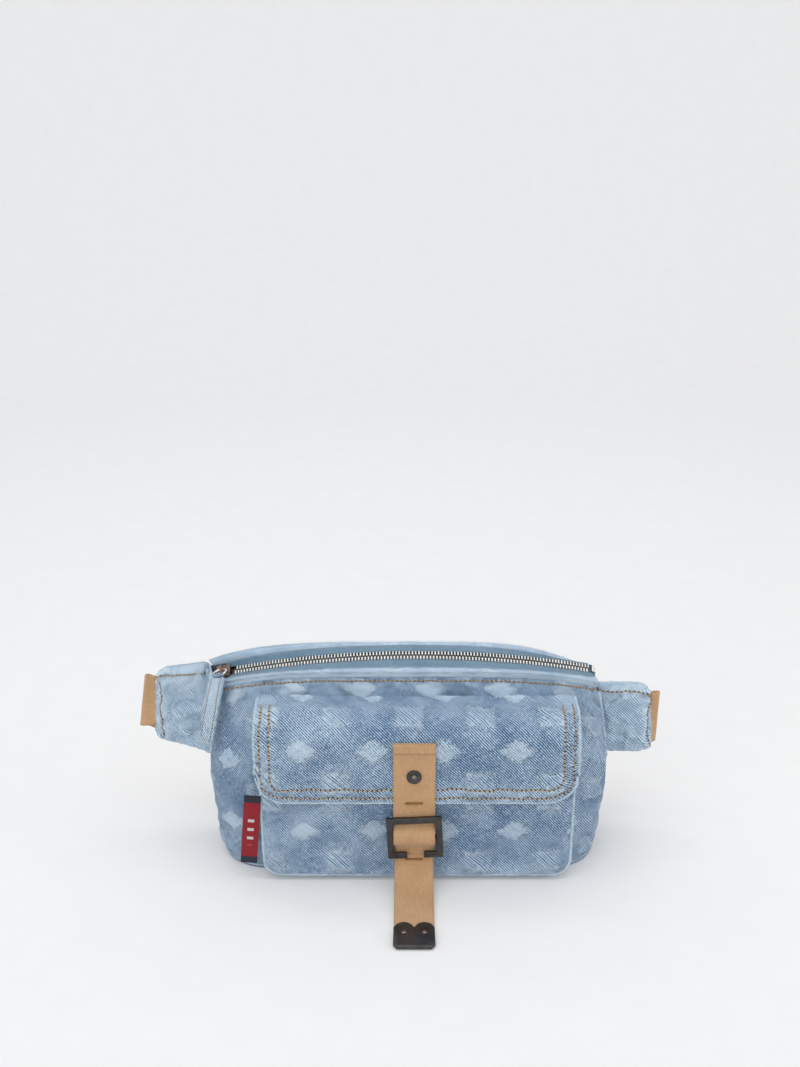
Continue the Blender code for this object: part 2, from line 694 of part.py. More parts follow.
def flat_mesh(name, outlines, thickness):
    """The same as flat, made a mesh so that a Boolean can join it."""
    guide = flat(name + "_guide", outlines, thickness, Matrix.Identity(4), GUNMETAL)
    graph = bpy.context.evaluated_depsgraph_get()
    data = bpy.data.meshes.new_from_object(guide.evaluated_get(graph))
    data.name = name
    data.materials.clear()
    bpy.data.objects.remove(guide)
    bm = bmesh.new()
    bm.from_mesh(data)
    bmesh.ops.remove_doubles(bm, verts=bm.verts, dist=1e-6)
    bm.to_mesh(data)
    bm.free()
    return data


def make_tail(hinge):
    start = (STRAP_Y - 0.0001, TAIL_START_Z - 0.0006)
    path = [start, (-0.0535, 0.0180), (-0.0570, 0.0128), (-0.0630, 0.0082), (-0.0710, 0.0050)]
    path += [(-0.0810, 0.0030), (-0.0920, 0.0020), (-0.1020, 0.0017), (TAIL_END_Y, 0.0017)]
    webbing("strap_tail", path[::-1], STRAP_W - 0.002, STRAP_T - 0.0002, WEBBING, hinge)
    bar_tack("bar_tack_lower", (STRAP_X, STRAP_Y - STRAP_T / 2 - 0.0014, 0.0222), hinge)

    columns = spread(-1, 1, 13)
    rows = []
    top_z, low_z = 0.0031, 0.0005
    for share in (0, 0.35, 1):
        row = []
        for across in columns:
            lobe = TIP_LOBE * (1 - abs(math.sin(math.pi * across)) ** 0.6) if abs(across) < 1 else TIP_LOBE
            corner = 0.004 * max(0.0, (abs(across) - 0.8) / 0.2) ** 2
            y = lerp(TIP_Y[1] - lobe, TIP_Y[0] + 0.001 + corner, share)
            row.append(Vector((STRAP_X + across * TIP_W / 2, y, top_z)))
        rows.append(row)
    for y_step, z in ((0.0002, 0.0024), (0.0002, 0.0012), (0.001, low_z), (0.016, low_z)):
        row = []
        for across in columns:
            corner = 0.004 * max(0.0, (abs(across) - 0.8) / 0.2) ** 2
            row.append(Vector((STRAP_X + across * TIP_W / 2, TIP_Y[0] + y_step + corner, z)))
        rows.append(row)
    sheet("strap_tip", rows[::-1], TIP_T, GUNMETAL, 0, hinge)
    for name, side in (("tip_rivet_left", -1), ("tip_rivet_right", 1)):
        centre = (STRAP_X + side * TIP_W / 4, -0.1170, top_z + TIP_T / 2 + 0.0003 + 0.0003)
        flat(name, [circle(TIP_RIVET_R, 12)], 0.0006, Matrix.Translation(centre), GUNMETAL, hinge)


def make_label():
    plane = frame_of((1, 0, 0), (0, 0, 1), (0, 0, 0))
    frame = Matrix.Translation(LABEL_CENTRE) @ Matrix.Rotation(LABEL_TILT, 4, "Y") @ plane
    flat("side_label", [rounded_box(*LABEL_SIZE, 0.0005, steps=1)], LABEL_T, frame, LABEL_RED)


# ---------------------------------------------------------------- wings

def wing_y(wing, x):
    """Y of a wing's middle surface at a place along it."""
    inner, outer = wing["inner_x"][0], wing["outer_x"][1]
    return lerp(wing["y"][0], wing["y"][1], min(1, (abs(x) - inner) / (outer - inner)))


def wing_point(wing, s, v):
    """Middle surface of a wing: s from the body to the outer end, v from bottom to top."""
    side = wing["side"]
    outer_x = lerp(wing["outer_x"][1], wing["outer_x"][0], v)
    inner_x = lerp(wing["inner_x"][0], wing["inner_x"][1], v)
    low = lerp(wing["inner_z"][0], wing["outer_z"][0], 1 - (1 - s) ** 2)
    high = lerp(wing["inner_z"][1], wing["outer_z"][1], s)
    length = outer_x - inner_x
    reach = (1 - s) * length
    if reach < WING_CORNER_R:
        rounding = WING_CORNER_R - math.sqrt(max(0.0, WING_CORNER_R ** 2 - (WING_CORNER_R - reach) ** 2))
        low += rounding * 0.8
        high -= rounding * 0.8
    x = lerp(inner_x, outer_x, s)
    return Vector((side * x, wing_y(wing, x), lerp(low, high, v)))


def make_wing(wing, name):
    along = [0, 0.25, 0.5, 0.72, 0.86, 0.94, 0.985, 1]
    if wing["side"] < 0:
        along = along[::-1]
    rows = [[wing_point(wing, s, v) for s in along] for v in spread(0, 1, 4)]
    lift = Vector((0, WING_PLY_OFFSET, 0))
    sheet(name + "_front", [[p - lift for p in row] for row in rows], DENIM_T, DENIM, 1)
    sheet(name + "_back", [[p + lift for p in row] for row in rows], DENIM_T, DENIM, -1)


# ---------------------------------------------------------------- belt

def ribbon(name, middles, widths, finish, parent=None):
    """A strap through middle points, with the half-width vector at each."""
    rows = [[middle - half, middle + half] for middle, half in zip(middles, widths)]
    return sheet(name, rows, BELT_T, finish, 0, parent)


def half_width(direction, crease=None):
    """Half-width vector of a strap that runs along direction in XZ, cut along a crease if it has one."""
    across = Vector((-direction.y, direction.x))
    if crease is not None:
        scale = (BELT_W / 2) / abs(crease.x * direction.y - crease.y * direction.x)
        across = crease * scale
    else:
        across = across * BELT_W / 2
    if across.y < 0:
        across = -across
    return Vector((across.x, 0, across.y))


def fold(point, incoming, outgoing, y_in, y_out):
    """Middles and half-widths round a folded crease at an (x, z) point."""
    crease = (incoming + outgoing).normalized() if (incoming + outgoing).length > 1e-3 else Vector((0, 1))
    half = half_width(incoming, crease)
    bulge = abs(y_out - y_in) * 0.45
    middles = [Vector((point.x, y_in, point.y))]
    turn = point + incoming * bulge
    middles.append(Vector((turn.x, (y_in + y_out) / 2, turn.y)))
    middles.append(Vector((point.x, y_out, point.y)))
    return middles, [half] * 3


def make_belt_left():
    wing_run = Vector((-1, -0.12)).normalized()
    down = Vector((math.cos(BELT_SLOPE), -math.sin(BELT_SLOPE)))
    start = BELT_LEFT_FOLD - wing_run * 0.030
    middles, halves = [Vector((start.x, wing_y(WING_LEFT, start.x), start.y))], [half_width(wing_run)]
    near = BELT_LEFT_FOLD - wing_run * 0.008
    middles.append(Vector((near.x, wing_y(WING_LEFT, near.x), near.y)))
    halves.append(half_width(wing_run))
    more, widths = fold(BELT_LEFT_FOLD, wing_run, down, BELT_LEFT_Y[0], BELT_LEFT_Y[1])
    middles += more
    halves += widths
    fall = BELT_LEFT_FOLD.y - BELT_SAG_Z
    curve = math.tan(BELT_SLOPE) ** 2 / (4 * fall)
    flat_at = math.tan(BELT_SLOPE) / (2 * curve)
    for share in (0.12, 0.28, 0.46, 0.64, 0.82, 1):
        x = flat_at * share
        slope = Vector((1, -math.tan(BELT_SLOPE) * (1 - share))).normalized()
        z = BELT_LEFT_FOLD.y - math.tan(BELT_SLOPE) * x + curve * x * x
        middles.append(Vector((BELT_LEFT_FOLD.x + x, BELT_LEFT_Y[1], z)))
        halves.append(half_width(slope))
    far, near_left = BELT_FOLD_X
    rising = Vector((near_left - far, BELT_Z - BELT_SAG_Z)).normalized()
    more, widths = fold(Vector((far, BELT_SAG_Z)), Vector((1, 0)), rising, BELT_LEFT_Y[1], BELT_LEFT_Y[2])
    middles += more
    halves += widths
    middle = lerp(Vector((far, BELT_SAG_Z)), Vector((near_left, BELT_Z)), 0.5)
    middles.append(Vector((middle.x, BELT_LEFT_Y[2], middle.y)))
    halves.append(half_width(rising))
    more, widths = fold(Vector((near_left, BELT_Z)), rising, Vector((1, 0)), BELT_LEFT_Y[2], BELT_LEFT_Y[3])
    middles += more
    halves += widths
    ribbon("belt_left", middles, halves, WEBBING)
    return middles[-1]


def make_belt_run(start):
    """The last length of the long belt: through the male half's rail and back, with its free end."""
    up = Vector((0, 0, BELT_W / 2))
    rail = MALE_X[0] + 0.002
    returning = start.y + BELT_LAYER
    points = [(start.x + 0.003, start.y), (0.010, start.y), (0.034, start.y - 0.0012)]
    points += [(rail - 0.008, BUCKLE_Y - 0.0032), (rail + 0.0035, BUCKLE_Y - 0.0030)]
    points += [(rail + 0.0055, BUCKLE_Y), (rail + 0.0035, BUCKLE_Y + 0.0030)]
    points += [(rail - 0.006, BUCKLE_Y + 0.0044), (0.036, returning), (0.010, returning)]
    points += [(BELT_TAIL_X, returning)]
    rows = [[Vector((x, y, BELT_Z)) - up, Vector((x, y, BELT_Z)) + up] for x, y in points]
    sheet("belt_run", rows, BELT_T, WEBBING, 0)


def make_belt_right():
    wing = WING_RIGHT
    half = Vector((0, 0, BELT_W / 2))
    centre_z = 0.0945
    rail = FEMALE_X[2] - 0.0015
    points = [(x, wing_y(wing, x), centre_z) for x in (0.158, 0.1835)] + [(0.1868, 0.0348, centre_z)]
    points += [(0.1875, 0.0375, centre_z), (0.1862, 0.0398, centre_z - 0.0006), (0.178, 0.0435, 0.0905)]
    points += [(0.166, 0.0472, 0.0840), (rail + 0.006, BUCKLE_Y - 0.0034, BELT_Z + 0.0006)]
    points += [(rail - 0.0035, BUCKLE_Y - 0.0029, BELT_Z), (rail - 0.0052, BUCKLE_Y, BELT_Z)]
    points += [(rail - 0.0035, BUCKLE_Y + 0.0029, BELT_Z), (rail + 0.006, BUCKLE_Y + 0.0032, BELT_Z + 0.0006)]
    points += [(0.168, 0.0518, 0.0846), (0.176, 0.0490, 0.0890)]
    rows = [[Vector(p) - half, Vector(p) + half] for p in points]
    sheet("belt_right", rows, BELT_T, WEBBING, 0)


def make_female():
    start, body_end, end = FEMALE_X
    high, low = BELT_Z + BUCKLE_H / 2, BELT_Z - BUCKLE_H / 2
    female = box("buckle_female", (start, BUCKLE_Y - 0.0055, low), (body_end, BUCKLE_Y + 0.0055, high),
                 BLACK_PLASTIC, None, 0.0012)
    rail = box("female_frame", (body_end - 0.004, BUCKLE_Y - 0.0016, low + 0.001),
               (end, BUCKLE_Y + 0.0016, high - 0.001))
    cut(female, rail, "UNION")
    cutters = [
        ("female_cavity", (start - 0.01, BUCKLE_Y - 0.0037, BELT_Z - 0.0206),
         (start + 0.030, BUCKLE_Y + 0.0037, BELT_Z + 0.0206)),
        ("female_windows", (start + 0.013, BUCKLE_Y - 0.0028, low - 0.01),
         (start + 0.027, BUCKLE_Y + 0.0028, high + 0.01)),
        ("female_slot", (end - 0.0088, BUCKLE_Y - 0.01, BELT_Z - 0.0206),
         (end - 0.003, BUCKLE_Y + 0.01, BELT_Z + 0.0206)),
    ]
    for name, corner, other in cutters:
        cut(female, box(name, corner, other))


def make_male():
    start, shoulder, tip = MALE_X
    half = BUCKLE_H / 2 - 0.001
    reach = 0.0202
    upper = [(start, half - 0.004), (start + 0.004, half), (shoulder - 0.003, half), (shoulder, reach)]
    upper += [(tip - 0.011, reach - 0.004), (tip - 0.010, reach), (tip - 0.004, reach), (tip, reach - 0.006)]
    upper += [(tip - 0.004, reach - 0.008), (shoulder, reach - 0.009)]
    upper += [(shoulder, 0.0045), (tip - 0.002, 0.0035)]
    outline = upper + [(x, -z) for x, z in upper[::-1]]
    slot = rounded_box(0.0078, 2 * 0.0206, 0.001, (start + 0.0082, 0), 2)
    pivot_at = pivot("buckle_release_axis", (shoulder, BUCKLE_Y, BELT_Z))
    plane = frame_of((1, 0, 0), (0, 0, 1), (0, BUCKLE_Y, BELT_Z))
    flat("buckle_male", [outline, slot], 0.0034, plane, BLACK_PLASTIC, pivot_at)


def make_keeper(run_y):
    inner_y, inner_z = 0.0052, BELT_W + 0.0010
    wall = 0.0011
    plane = frame_of((0, 1, 0), (0, 0, 1), (KEEPER_X, run_y + 0.0012, BELT_Z))
    outlines = [rounded_box(inner_y + 2 * wall, inner_z + 2 * wall, 0.001, steps=2),
                rounded_box(inner_y, inner_z, 0.0004, steps=2)]
    hinge = pivot("keeper_slide_axis", (KEEPER_X, run_y, BELT_Z))
    flat("belt_keeper", outlines, KEEPER_W, plane, BLACK_PLASTIC, hinge)


clear_scene()
PARTS = collection("waist_pack")
CUTTERS = collection("cutters")
make_shell()
make_lining()
make_zip()
make_slider()
make_pocket()
flap_hinge = make_flap()
make_strap(flap_hinge)
make_label()
make_wing(WING_LEFT, "wing_left")
make_wing(WING_RIGHT, "wing_right")
run_start = make_belt_left()
make_male()
make_belt_run(run_start)
make_belt_right()
make_female()
make_keeper(run_start.y)
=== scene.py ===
"""Looks of the denim waist pack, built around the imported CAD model.

Metres. -Y is the front, +X is to the right seen from the front, +Z is up. Cloth pieces are grids of points
from the same formulas as the CAD sheets, settled as cloth, drawn finer, and given seams, motifs and stitches.
"""

import math

import bmesh
import bpy
import numpy as np
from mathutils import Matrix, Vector


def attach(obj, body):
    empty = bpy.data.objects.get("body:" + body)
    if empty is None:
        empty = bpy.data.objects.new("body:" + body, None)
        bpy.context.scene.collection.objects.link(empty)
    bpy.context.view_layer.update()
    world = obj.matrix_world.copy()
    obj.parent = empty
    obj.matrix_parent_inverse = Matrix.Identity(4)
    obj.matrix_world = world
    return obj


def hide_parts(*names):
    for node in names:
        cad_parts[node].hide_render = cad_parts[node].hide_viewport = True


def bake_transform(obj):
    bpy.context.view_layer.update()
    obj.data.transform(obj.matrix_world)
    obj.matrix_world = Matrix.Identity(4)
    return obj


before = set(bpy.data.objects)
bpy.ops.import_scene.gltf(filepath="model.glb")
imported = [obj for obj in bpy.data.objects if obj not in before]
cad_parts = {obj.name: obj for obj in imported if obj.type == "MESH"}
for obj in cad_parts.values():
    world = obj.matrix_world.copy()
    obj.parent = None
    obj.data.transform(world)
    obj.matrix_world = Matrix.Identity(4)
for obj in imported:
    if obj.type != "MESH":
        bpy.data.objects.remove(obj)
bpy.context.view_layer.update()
SCENE = bpy.context.scene

# Body shell, as in the CAD model
BASE_HALF_WIDTH, BASE_FRONT_Y, BASE_BACK_Y = 0.139, -0.028, 0.0375
BASE_CORNER_R, SHELL_Z, BASE_Z = 0.036, 0.003, 0.0022
FRONT_BULGE, SIDE_BULGE, BACK_BULGE = 0.010, 0.008, 0.004
DENIM_T = 0.0012
SEAM = np.array([(-0.139, 0.018, 0.1278), (0, -0.008, 0.148), (0.137, 0.014, 0.130)])
ZIP = np.array([(-0.140, 0.028, 0.1325), (0, 0.009, 0.1545), (0.138, 0.025, 0.1365)])
RIM = np.array([(-0.149, 0.036, 0.139), (0, 0.027, 0.157), (0.139, 0.034, 0.126)])
EDGE_POWER = 4

# Zip
ZIP_START, ZIP_END, SLIDER_AT = 0.05, 0.975, 0.020
TOOTH_PITCH, TOOTH_W, TOOTH_H = 0.00233, 0.00158, 0.0011
TOOTH_REACH = (0.00034, 0.0033)
TAPE_START = 0.0033
RING_R, RING_WIRE_R = 0.0050, 0.0008
SLIDER_T, SLIDER_CENTRE, BRIDGE_STAND, BRIDGE_R = 0.0034, 0.0013, 0.0010, 0.0031
TAB_TOP_DIRECTION = (-0.14, -0.80, -0.58)
TAB_END_DIRECTION = (-0.20, -0.20, -0.96)
TAB_LENGTH, TAB_WIDTH, TAB_T = 0.050, 0.0125, 0.0022

# Pocket and flap
POCKET_X, POCKET_Z = (-0.105, 0.117), (0.0045, 0.1120)
POCKET_Y, POCKET_CORNER_R = -0.0445, 0.013
POCKET_BACK_RISE = 0.006
FLAP_X = (-0.107, 0.118)
FLAP_HINGE_Y, FLAP_HINGE_Z, FLAP_FRONT_Y = -0.0185, 0.1295, -0.0492
FLAP_SHOULDER_Z, FLAP_BOTTOM_Z, FLAP_CORNER_R = 0.104, 0.067, 0.021
FLAP_TUCK = 0.10
FLAP_ROW_INSETS, FLAP_PULL_INSETS = (0.0036, 0.0102), (0.0034, 0.0100)

# Front strap
STRAP_X, STRAP_Y = 0.00365, -0.0514
STRAP_W, TURN_W, TAIL_W, TIP_W = 0.0295, 0.0293, 0.0279, 0.0283
STRAP_TOP_Z, SNAP_Z = 0.1135, 0.0885
HOOK_BEND_Z, TAIL_BEND_Z = (0.0615, 0.0585), (0.0262, 0.0225)

# Wings and belt
WING_LEFT = {"side": -1, "y": (0.0378, 0.0445), "outer_x": (0.1885, 0.1930), "outer_z": (0.0715, 0.130),
             "inner_z": (0.058, 0.1370), "inner_x": (0.1422, 0.1508)}
WING_RIGHT = {"side": 1, "y": (0.0378, 0.0335), "outer_x": (0.1790, 0.1835), "outer_z": (0.067, 0.1225),
              "inner_z": (0.0655, 0.1215), "inner_x": (0.1405, 0.1405)}
WING_CORNER_R, WING_PLY = 0.010, 0.0021
WING_ROW_INSETS = (0.0060, 0.0070)
BELT_W, BELT_T, BELT_Z = 0.040, 0.0014, 0.079
BELT_LEFT_FOLD = (-0.2000, 0.103)
BELT_LEFT_Y = (0.0446, 0.0500, 0.0535, 0.0570)
BELT_SLOPE, BELT_SAG_Z = math.radians(27), 0.058
BELT_FOLD_X, BELT_TAIL_X, BELT_LAYER = (0.022, -0.098), -0.034, 0.0024
BUCKLE_Y, MALE_START, FEMALE_END, RUN_BEND_X = 0.0525, 0.061, 0.150, (0.020, 0.055)

SIDES = ((-1, "left"), (1, "right"))

# Cloth detail
CELL = 0.0013
STITCH_PITCH, STITCH_LENGTH, STITCH_R = 0.0033, 0.0025, 0.00056
MOTIF_PERIOD = 0.050
MOTIF_BLOCK = (0.0100, 0.0080)
MOTIF_DIAMOND = (0.0125, 0.0088)
MOTIF_RISE = 0.00045
MOTIF_FRAY, HATCH_PITCH = 0.0100, 0.0030
TWILL_PITCH = 0.0021
AXIS_TURN, DIAGONAL_TURN = 0.31416, 0.6283  # a wave texture's scale that gives one stripe a metre
LABEL_W, LABEL_H, LABEL_END = 0.0118, 0.055, 0.0055
LABEL_AT, LABEL_TILT = np.array([-0.1130, -0.0462, 0.0432]), math.radians(6)
FRONT_ROW_INSET, BACK_ROW_INSET = 0.0038, 0.0050
FRONT_MOTIF_AT, POCKET_MOTIF_V, FLAP_MOTIF_V = (-0.1595, -0.1140), -0.0115, -0.015
SIM_CELL, SIM_FRAMES = 0.0042, 14
TUBE_WEAR, LATHE_SIDES = 0.6, 40


# ---------------------------------------------------------------- numbers and curves

def lerp(a, b, t):
    return a * (1 - t) + b * t


def unit(v):
    return v / np.maximum(np.linalg.norm(v, axis=-1, keepdims=True), 1e-12)


def smooth(low, high, x):
    t = np.clip((x - low) / (high - low), 0, 1)
    return t * t * (3 - 2 * t)


def resample(values, count, axis=0):
    """Catmull-Rom values at count even steps along an axis."""
    n = values.shape[axis]
    x = np.linspace(0, n - 1, count)
    i = np.clip(np.floor(x).astype(int), 0, n - 2)
    f = x - i
    weights = (-0.5 * f + f ** 2 - 0.5 * f ** 3, 1 - 2.5 * f ** 2 + 1.5 * f ** 3,
               0.5 * f + 2 * f ** 2 - 1.5 * f ** 3, -0.5 * f ** 2 + 0.5 * f ** 3)
    moved = np.moveaxis(values, axis, 0)
    shape = (count,) + (1,) * (moved.ndim - 1)
    out = sum(w.reshape(shape) * moved[np.clip(i + k, 0, n - 1)] for k, w in zip((-1, 0, 1, 2), weights))
    return np.moveaxis(out, 0, axis)


def wave_noise(x, y, size, seed):
    """Smooth noise from a few crossing waves, about -1..1, with features of about that size."""
    rng = np.random.default_rng(seed)
    total = np.zeros(np.broadcast(x, y).shape)
    for _ in range(9):
        angle, phase = rng.uniform(0, 2 * math.pi, 2)
        length = size * rng.uniform(1.2, 3.0)
        total += np.sin(2 * math.pi * (x * math.cos(angle) + y * math.sin(angle)) / length + phase)
    return total / 3.5


def edge_curve(ends, t):
    """A shell edge through its left, middle and right points, for t from 0 to 1."""
    u = 2 * np.asarray(t, float) - 1
    end = np.where((u < 0)[..., None], ends[0], ends[2])
    drop = np.abs(u)[..., None] ** EDGE_POWER
    point = lerp(ends[1], end, drop)
    point[..., 0] = np.abs(u) * end[..., 0]
    return point


def circle_through(a, b, c):
    ab, ac = b - a, c - a
    normal = np.cross(ab, ac)
    to_centre = np.cross(normal, ab) * (ac @ ac) + np.cross(ac, normal) * (ab @ ab)
    return a + to_centre / (2 * normal @ normal), unit(normal)


ZIP_CENTRE, ZIP_AXIS = circle_through(*ZIP)
ZIP_FRONT = -ZIP_AXIS if ZIP_AXIS[1] > 0 else ZIP_AXIS
_FIRST, _LAST = ZIP[0] - ZIP_CENTRE, ZIP[2] - ZIP_CENTRE
ZIP_ANGLE = math.atan2(np.cross(_FIRST, _LAST) @ ZIP_AXIS, _FIRST @ _LAST)
ZIP_LENGTH = ZIP_ANGLE * np.linalg.norm(_FIRST)


def zip_point(t):
    angle = (ZIP_ANGLE * np.asarray(t, float))[..., None]
    along = np.cross(ZIP_AXIS, _FIRST)
    return ZIP_CENTRE + _FIRST * np.cos(angle) + along * np.sin(angle)


def zip_frame(t):
    """Tangent and outward directions at t on the zip."""
    outward = unit(zip_point(t) - ZIP_CENTRE)
    return unit(np.cross(ZIP_AXIS, outward)), outward


def edge_share(ends, t):
    """The place on a shell edge that the zip tape reaches from t on the zip."""
    u = 2 * t - 1
    side = np.where(u < 0, 0, 2)
    zip_end, edge_end = np.abs(ZIP[side, 0]), np.abs(ends[side, 0])
    fan = lerp(zip_end / edge_end, 1, np.abs(u) ** 8)
    return (zip_point(t)[..., 0] / zip_end * fan + 1) / 2


def base_path(t):
    """Points and outward directions along the base's side, front and other side."""
    arc = BASE_CORNER_R * math.pi / 2
    run = 2 * (BASE_HALF_WIDTH - BASE_CORNER_R)
    along = t * (2 * arc + run)
    left = np.clip(along / BASE_CORNER_R, 0, math.pi / 2)
    right = np.clip((along - arc - run) / BASE_CORNER_R, 0, math.pi / 2)
    out = np.stack([np.sin(right) - np.cos(left), -np.sin(left) * np.cos(right), 0 * left], -1)
    x = BASE_CORNER_R - BASE_HALF_WIDTH + np.clip(along - arc, 0, run)
    centre = np.stack([x, np.full_like(x, BASE_FRONT_Y + BASE_CORNER_R), np.full_like(x, SHELL_Z)], -1)
    return centre + out * BASE_CORNER_R, out


def front_point(t, v, inset=0.0):
    """Front panel: t runs round the base from left to right, v from base to seam."""
    low, out = base_path(t)
    top = edge_curve(SEAM, (low[..., 0] / BASE_HALF_WIDTH + 1) / 2)
    bulge = lerp(FRONT_BULGE, SIDE_BULGE, out[..., 0] ** 2)
    return lerp(low, top, v[..., None]) + out * (bulge * np.sin(np.pi * v) - inset)[..., None]


def side_point(side, w, v):
    """Side gusset: w runs from front to back, v from base to top."""
    end = 0 if side < 0 else 2
    y = lerp(BASE_FRONT_Y + BASE_CORNER_R, BASE_BACK_Y, w)
    low = np.stack([0 * y + side * BASE_HALF_WIDTH, y, 0 * y + SHELL_Z], -1)
    top = lerp(SEAM[end], RIM[end], w[..., None])
    bulge = lerp(SIDE_BULGE, 0.0015, w) * np.sin(np.pi * v)
    return lerp(low, top, v[..., None]) + np.array([side, 0, 0]) * bulge[..., None]


def back_point(t, v):
    x = lerp(1, -1, t) * (BASE_HALF_WIDTH - 0.0025)
    low = np.stack([x, 0 * x + BASE_BACK_Y, 0 * x + SHELL_Z], -1)
    bulge = BACK_BULGE * np.sin(np.pi * v) * np.sin(np.pi * t) ** 0.5
    point = lerp(low, edge_curve(RIM, 1 - t), v[..., None])
    point[..., 1] += bulge
    return point


def front_y(x, z):
    """Where the front panel is at x and z."""
    t, v = 0.5 + x / (2.4 * BASE_HALF_WIDTH), (z - SHELL_Z) / SEAM[1, 2]
    for _ in range(12):
        point = front_point(t, v)
        t = t + (x - point[..., 0]) / (2.3 * BASE_HALF_WIDTH)
        v = v + (z - point[..., 2]) / SEAM[1, 2]
    return front_point(t, v)[..., 1]


# ---------------------------------------------------------------- cloth grids

def normals_of(points):
    across = np.gradient(points, axis=1)
    up = np.gradient(points, axis=0)
    return unit(np.cross(across, up))


def line_lengths(points):
    """Metres from the start of a line of points to each of them."""
    return np.concatenate([[0], np.cumsum(np.linalg.norm(np.diff(points, axis=0), axis=1))])


def interp_rows(at, places, rows):
    return np.stack([np.interp(at, places, rows[:, k]) for k in range(3)], -1)


def lengths_of(points):
    """Metres along the middle row and the middle column of a grid."""
    return line_lengths(points[points.shape[0] // 2]), line_lengths(points[:, points.shape[1] // 2])


def settle(points, pin, growth, cap, seed):
    """How far each point moves when the grid is cloth a little larger than its outline, held where pinned."""
    rows, columns = points.shape[:2]
    x, y = np.meshgrid(np.arange(columns) * SIM_CELL, np.arange(rows) * SIM_CELL)
    start = points + normals_of(points) * (0.0006 * wave_noise(x, y, 0.014, seed) * (1 - pin))[..., None]
    obj = mesh_object("cloth_sim", start.reshape(-1, 3), grid_faces(rows, columns))
    group = obj.vertex_groups.new(name="pin")
    for index, weight in enumerate(pin.ravel()):
        group.add([index], float(weight), "REPLACE")
    cloth = obj.modifiers.new("Cloth", "CLOTH")
    settings = {"quality": 6, "mass": 0.25, "tension_stiffness": 20, "compression_stiffness": 20,
                "air_damping": 3, "bending_stiffness": 0.4, "vertex_group_mass": "pin", "shrink_min": -growth}
    for key, value in settings.items():
        setattr(cloth.settings, key, value)
    cloth.settings.effector_weights.gravity = 0
    cloth.point_cache.frame_start, cloth.point_cache.frame_end = 1, SIM_FRAMES
    for number in range(1, SIM_FRAMES + 1):
        SCENE.frame_set(number)
    graph = bpy.context.evaluated_depsgraph_get()
    settled = obj.evaluated_get(graph).to_mesh()
    found = np.empty(rows * columns * 3, np.float32)
    settled.vertices.foreach_get("co", found)
    bpy.data.objects.remove(obj, do_unlink=True)
    SCENE.frame_set(1)
    moved = found.reshape(points.shape).astype(float) - points
    size = np.linalg.norm(moved, axis=-1, keepdims=True)
    return moved * np.tanh(size / cap) * cap / np.maximum(size, 1e-9)


def grid_faces(rows, columns):
    index = np.arange(rows * columns).reshape(rows, columns)
    return np.stack([index[:-1, :-1], index[:-1, 1:], index[1:, 1:], index[1:, :-1]], -1).reshape(-1, 4)


def add_object(name, data):
    obj = bpy.data.objects.new(name, data)
    SCENE.collection.objects.link(obj)
    return obj


def mesh_object(name, points, faces, *materials):
    data = bpy.data.meshes.new(name)
    data.from_pydata(np.asarray(points).tolist(), [], np.asarray(faces).tolist())
    data.shade_smooth()
    for material in materials:
        data.materials.append(material)
    return add_object(name, data)


def cloth_layers(obj, uv, wear):
    """Gives a mesh its metric UV map, one pair a loop, and how worn each vertex is."""
    layer = obj.data.uv_layers.new(name="UVMap")
    layer.data.foreach_set("uv", uv.astype(np.float32).ravel())
    attribute = obj.data.attributes.new("wear", "FLOAT", "POINT")
    attribute.data.foreach_set("value", wear.astype(np.float32).ravel())


class Sheet:
    """A grid of cloth: points, metric coordinates u and v, and how worn each point is."""

    def __init__(self, points, u0=0.0, v0=0.0):
        along, up = lengths_of(points)
        self.points = points
        self.u = np.broadcast_to(along + u0, points.shape[:2]).copy()
        self.v = np.broadcast_to((up + v0)[:, None], points.shape[:2]).copy()
        self.wear = np.zeros(points.shape[:2])

    def finer(self, cell=CELL):
        along, up = lengths_of(self.points)
        sizes = max(4, int(up[-1] / cell)), max(4, int(along[-1] / cell))
        for key in ("points", "u", "v", "wear"):
            values = resample(getattr(self, key), sizes[0], 0)
            setattr(self, key, resample(values, sizes[1], 1))
        return self

    def push(self, amount):
        self.points = self.points + normals_of(self.points) * amount[..., None]

    def at(self, fu, fv):
        """Points and normals at fractions of the grid's columns and rows."""
        rows, columns = self.points.shape[:2]
        x = np.clip(np.asarray(fu, float), 0, 1) * (columns - 1)
        y = np.clip(np.asarray(fv, float), 0, 1) * (rows - 1)
        i, j = np.minimum(x.astype(int), columns - 2), np.minimum(y.astype(int), rows - 2)
        a, b = (x - i)[:, None], (y - j)[:, None]

        def mix(grid):
            return lerp(lerp(grid[j, i], grid[j, i + 1], a), lerp(grid[j + 1, i], grid[j + 1, i + 1], a), b)
        return mix(self.points), unit(mix(normals_of(self.points)))

    def build(self, name, thickness, material, inner=None, offset=-1.0):
        rows, columns = self.points.shape[:2]
        faces = grid_faces(rows, columns)
        obj = mesh_object(name, self.points.reshape(-1, 3), faces, material)
        cloth_layers(obj, np.stack([self.u.ravel(), self.v.ravel()], -1)[faces.ravel()], self.wear)
        solid = obj.modifiers.new("Thickness", "SOLIDIFY")
        solid.thickness, solid.offset, solid.use_even_offset = thickness, offset, False
        if inner is not None:
            obj.data.materials.append(inner)
            solid.material_offset = 1
        return obj


def motif_mask(u, v):
    """1 on a block or a diamond of the woven pattern, 0 on the plain cloth."""
    def cell(value, shift):
        return np.abs((value / MOTIF_PERIOD + shift) % 1 - 0.5) * MOTIF_PERIOD
    block = smooth(1, 0.8, np.maximum(cell(u, 0.5) / MOTIF_BLOCK[0], cell(v, 0.5) / MOTIF_BLOCK[1]))
    diamond = smooth(1, 0.8, cell(u, 0) / MOTIF_DIAMOND[0] + cell(v, 0) / MOTIF_DIAMOND[1])
    return np.maximum(block, diamond)


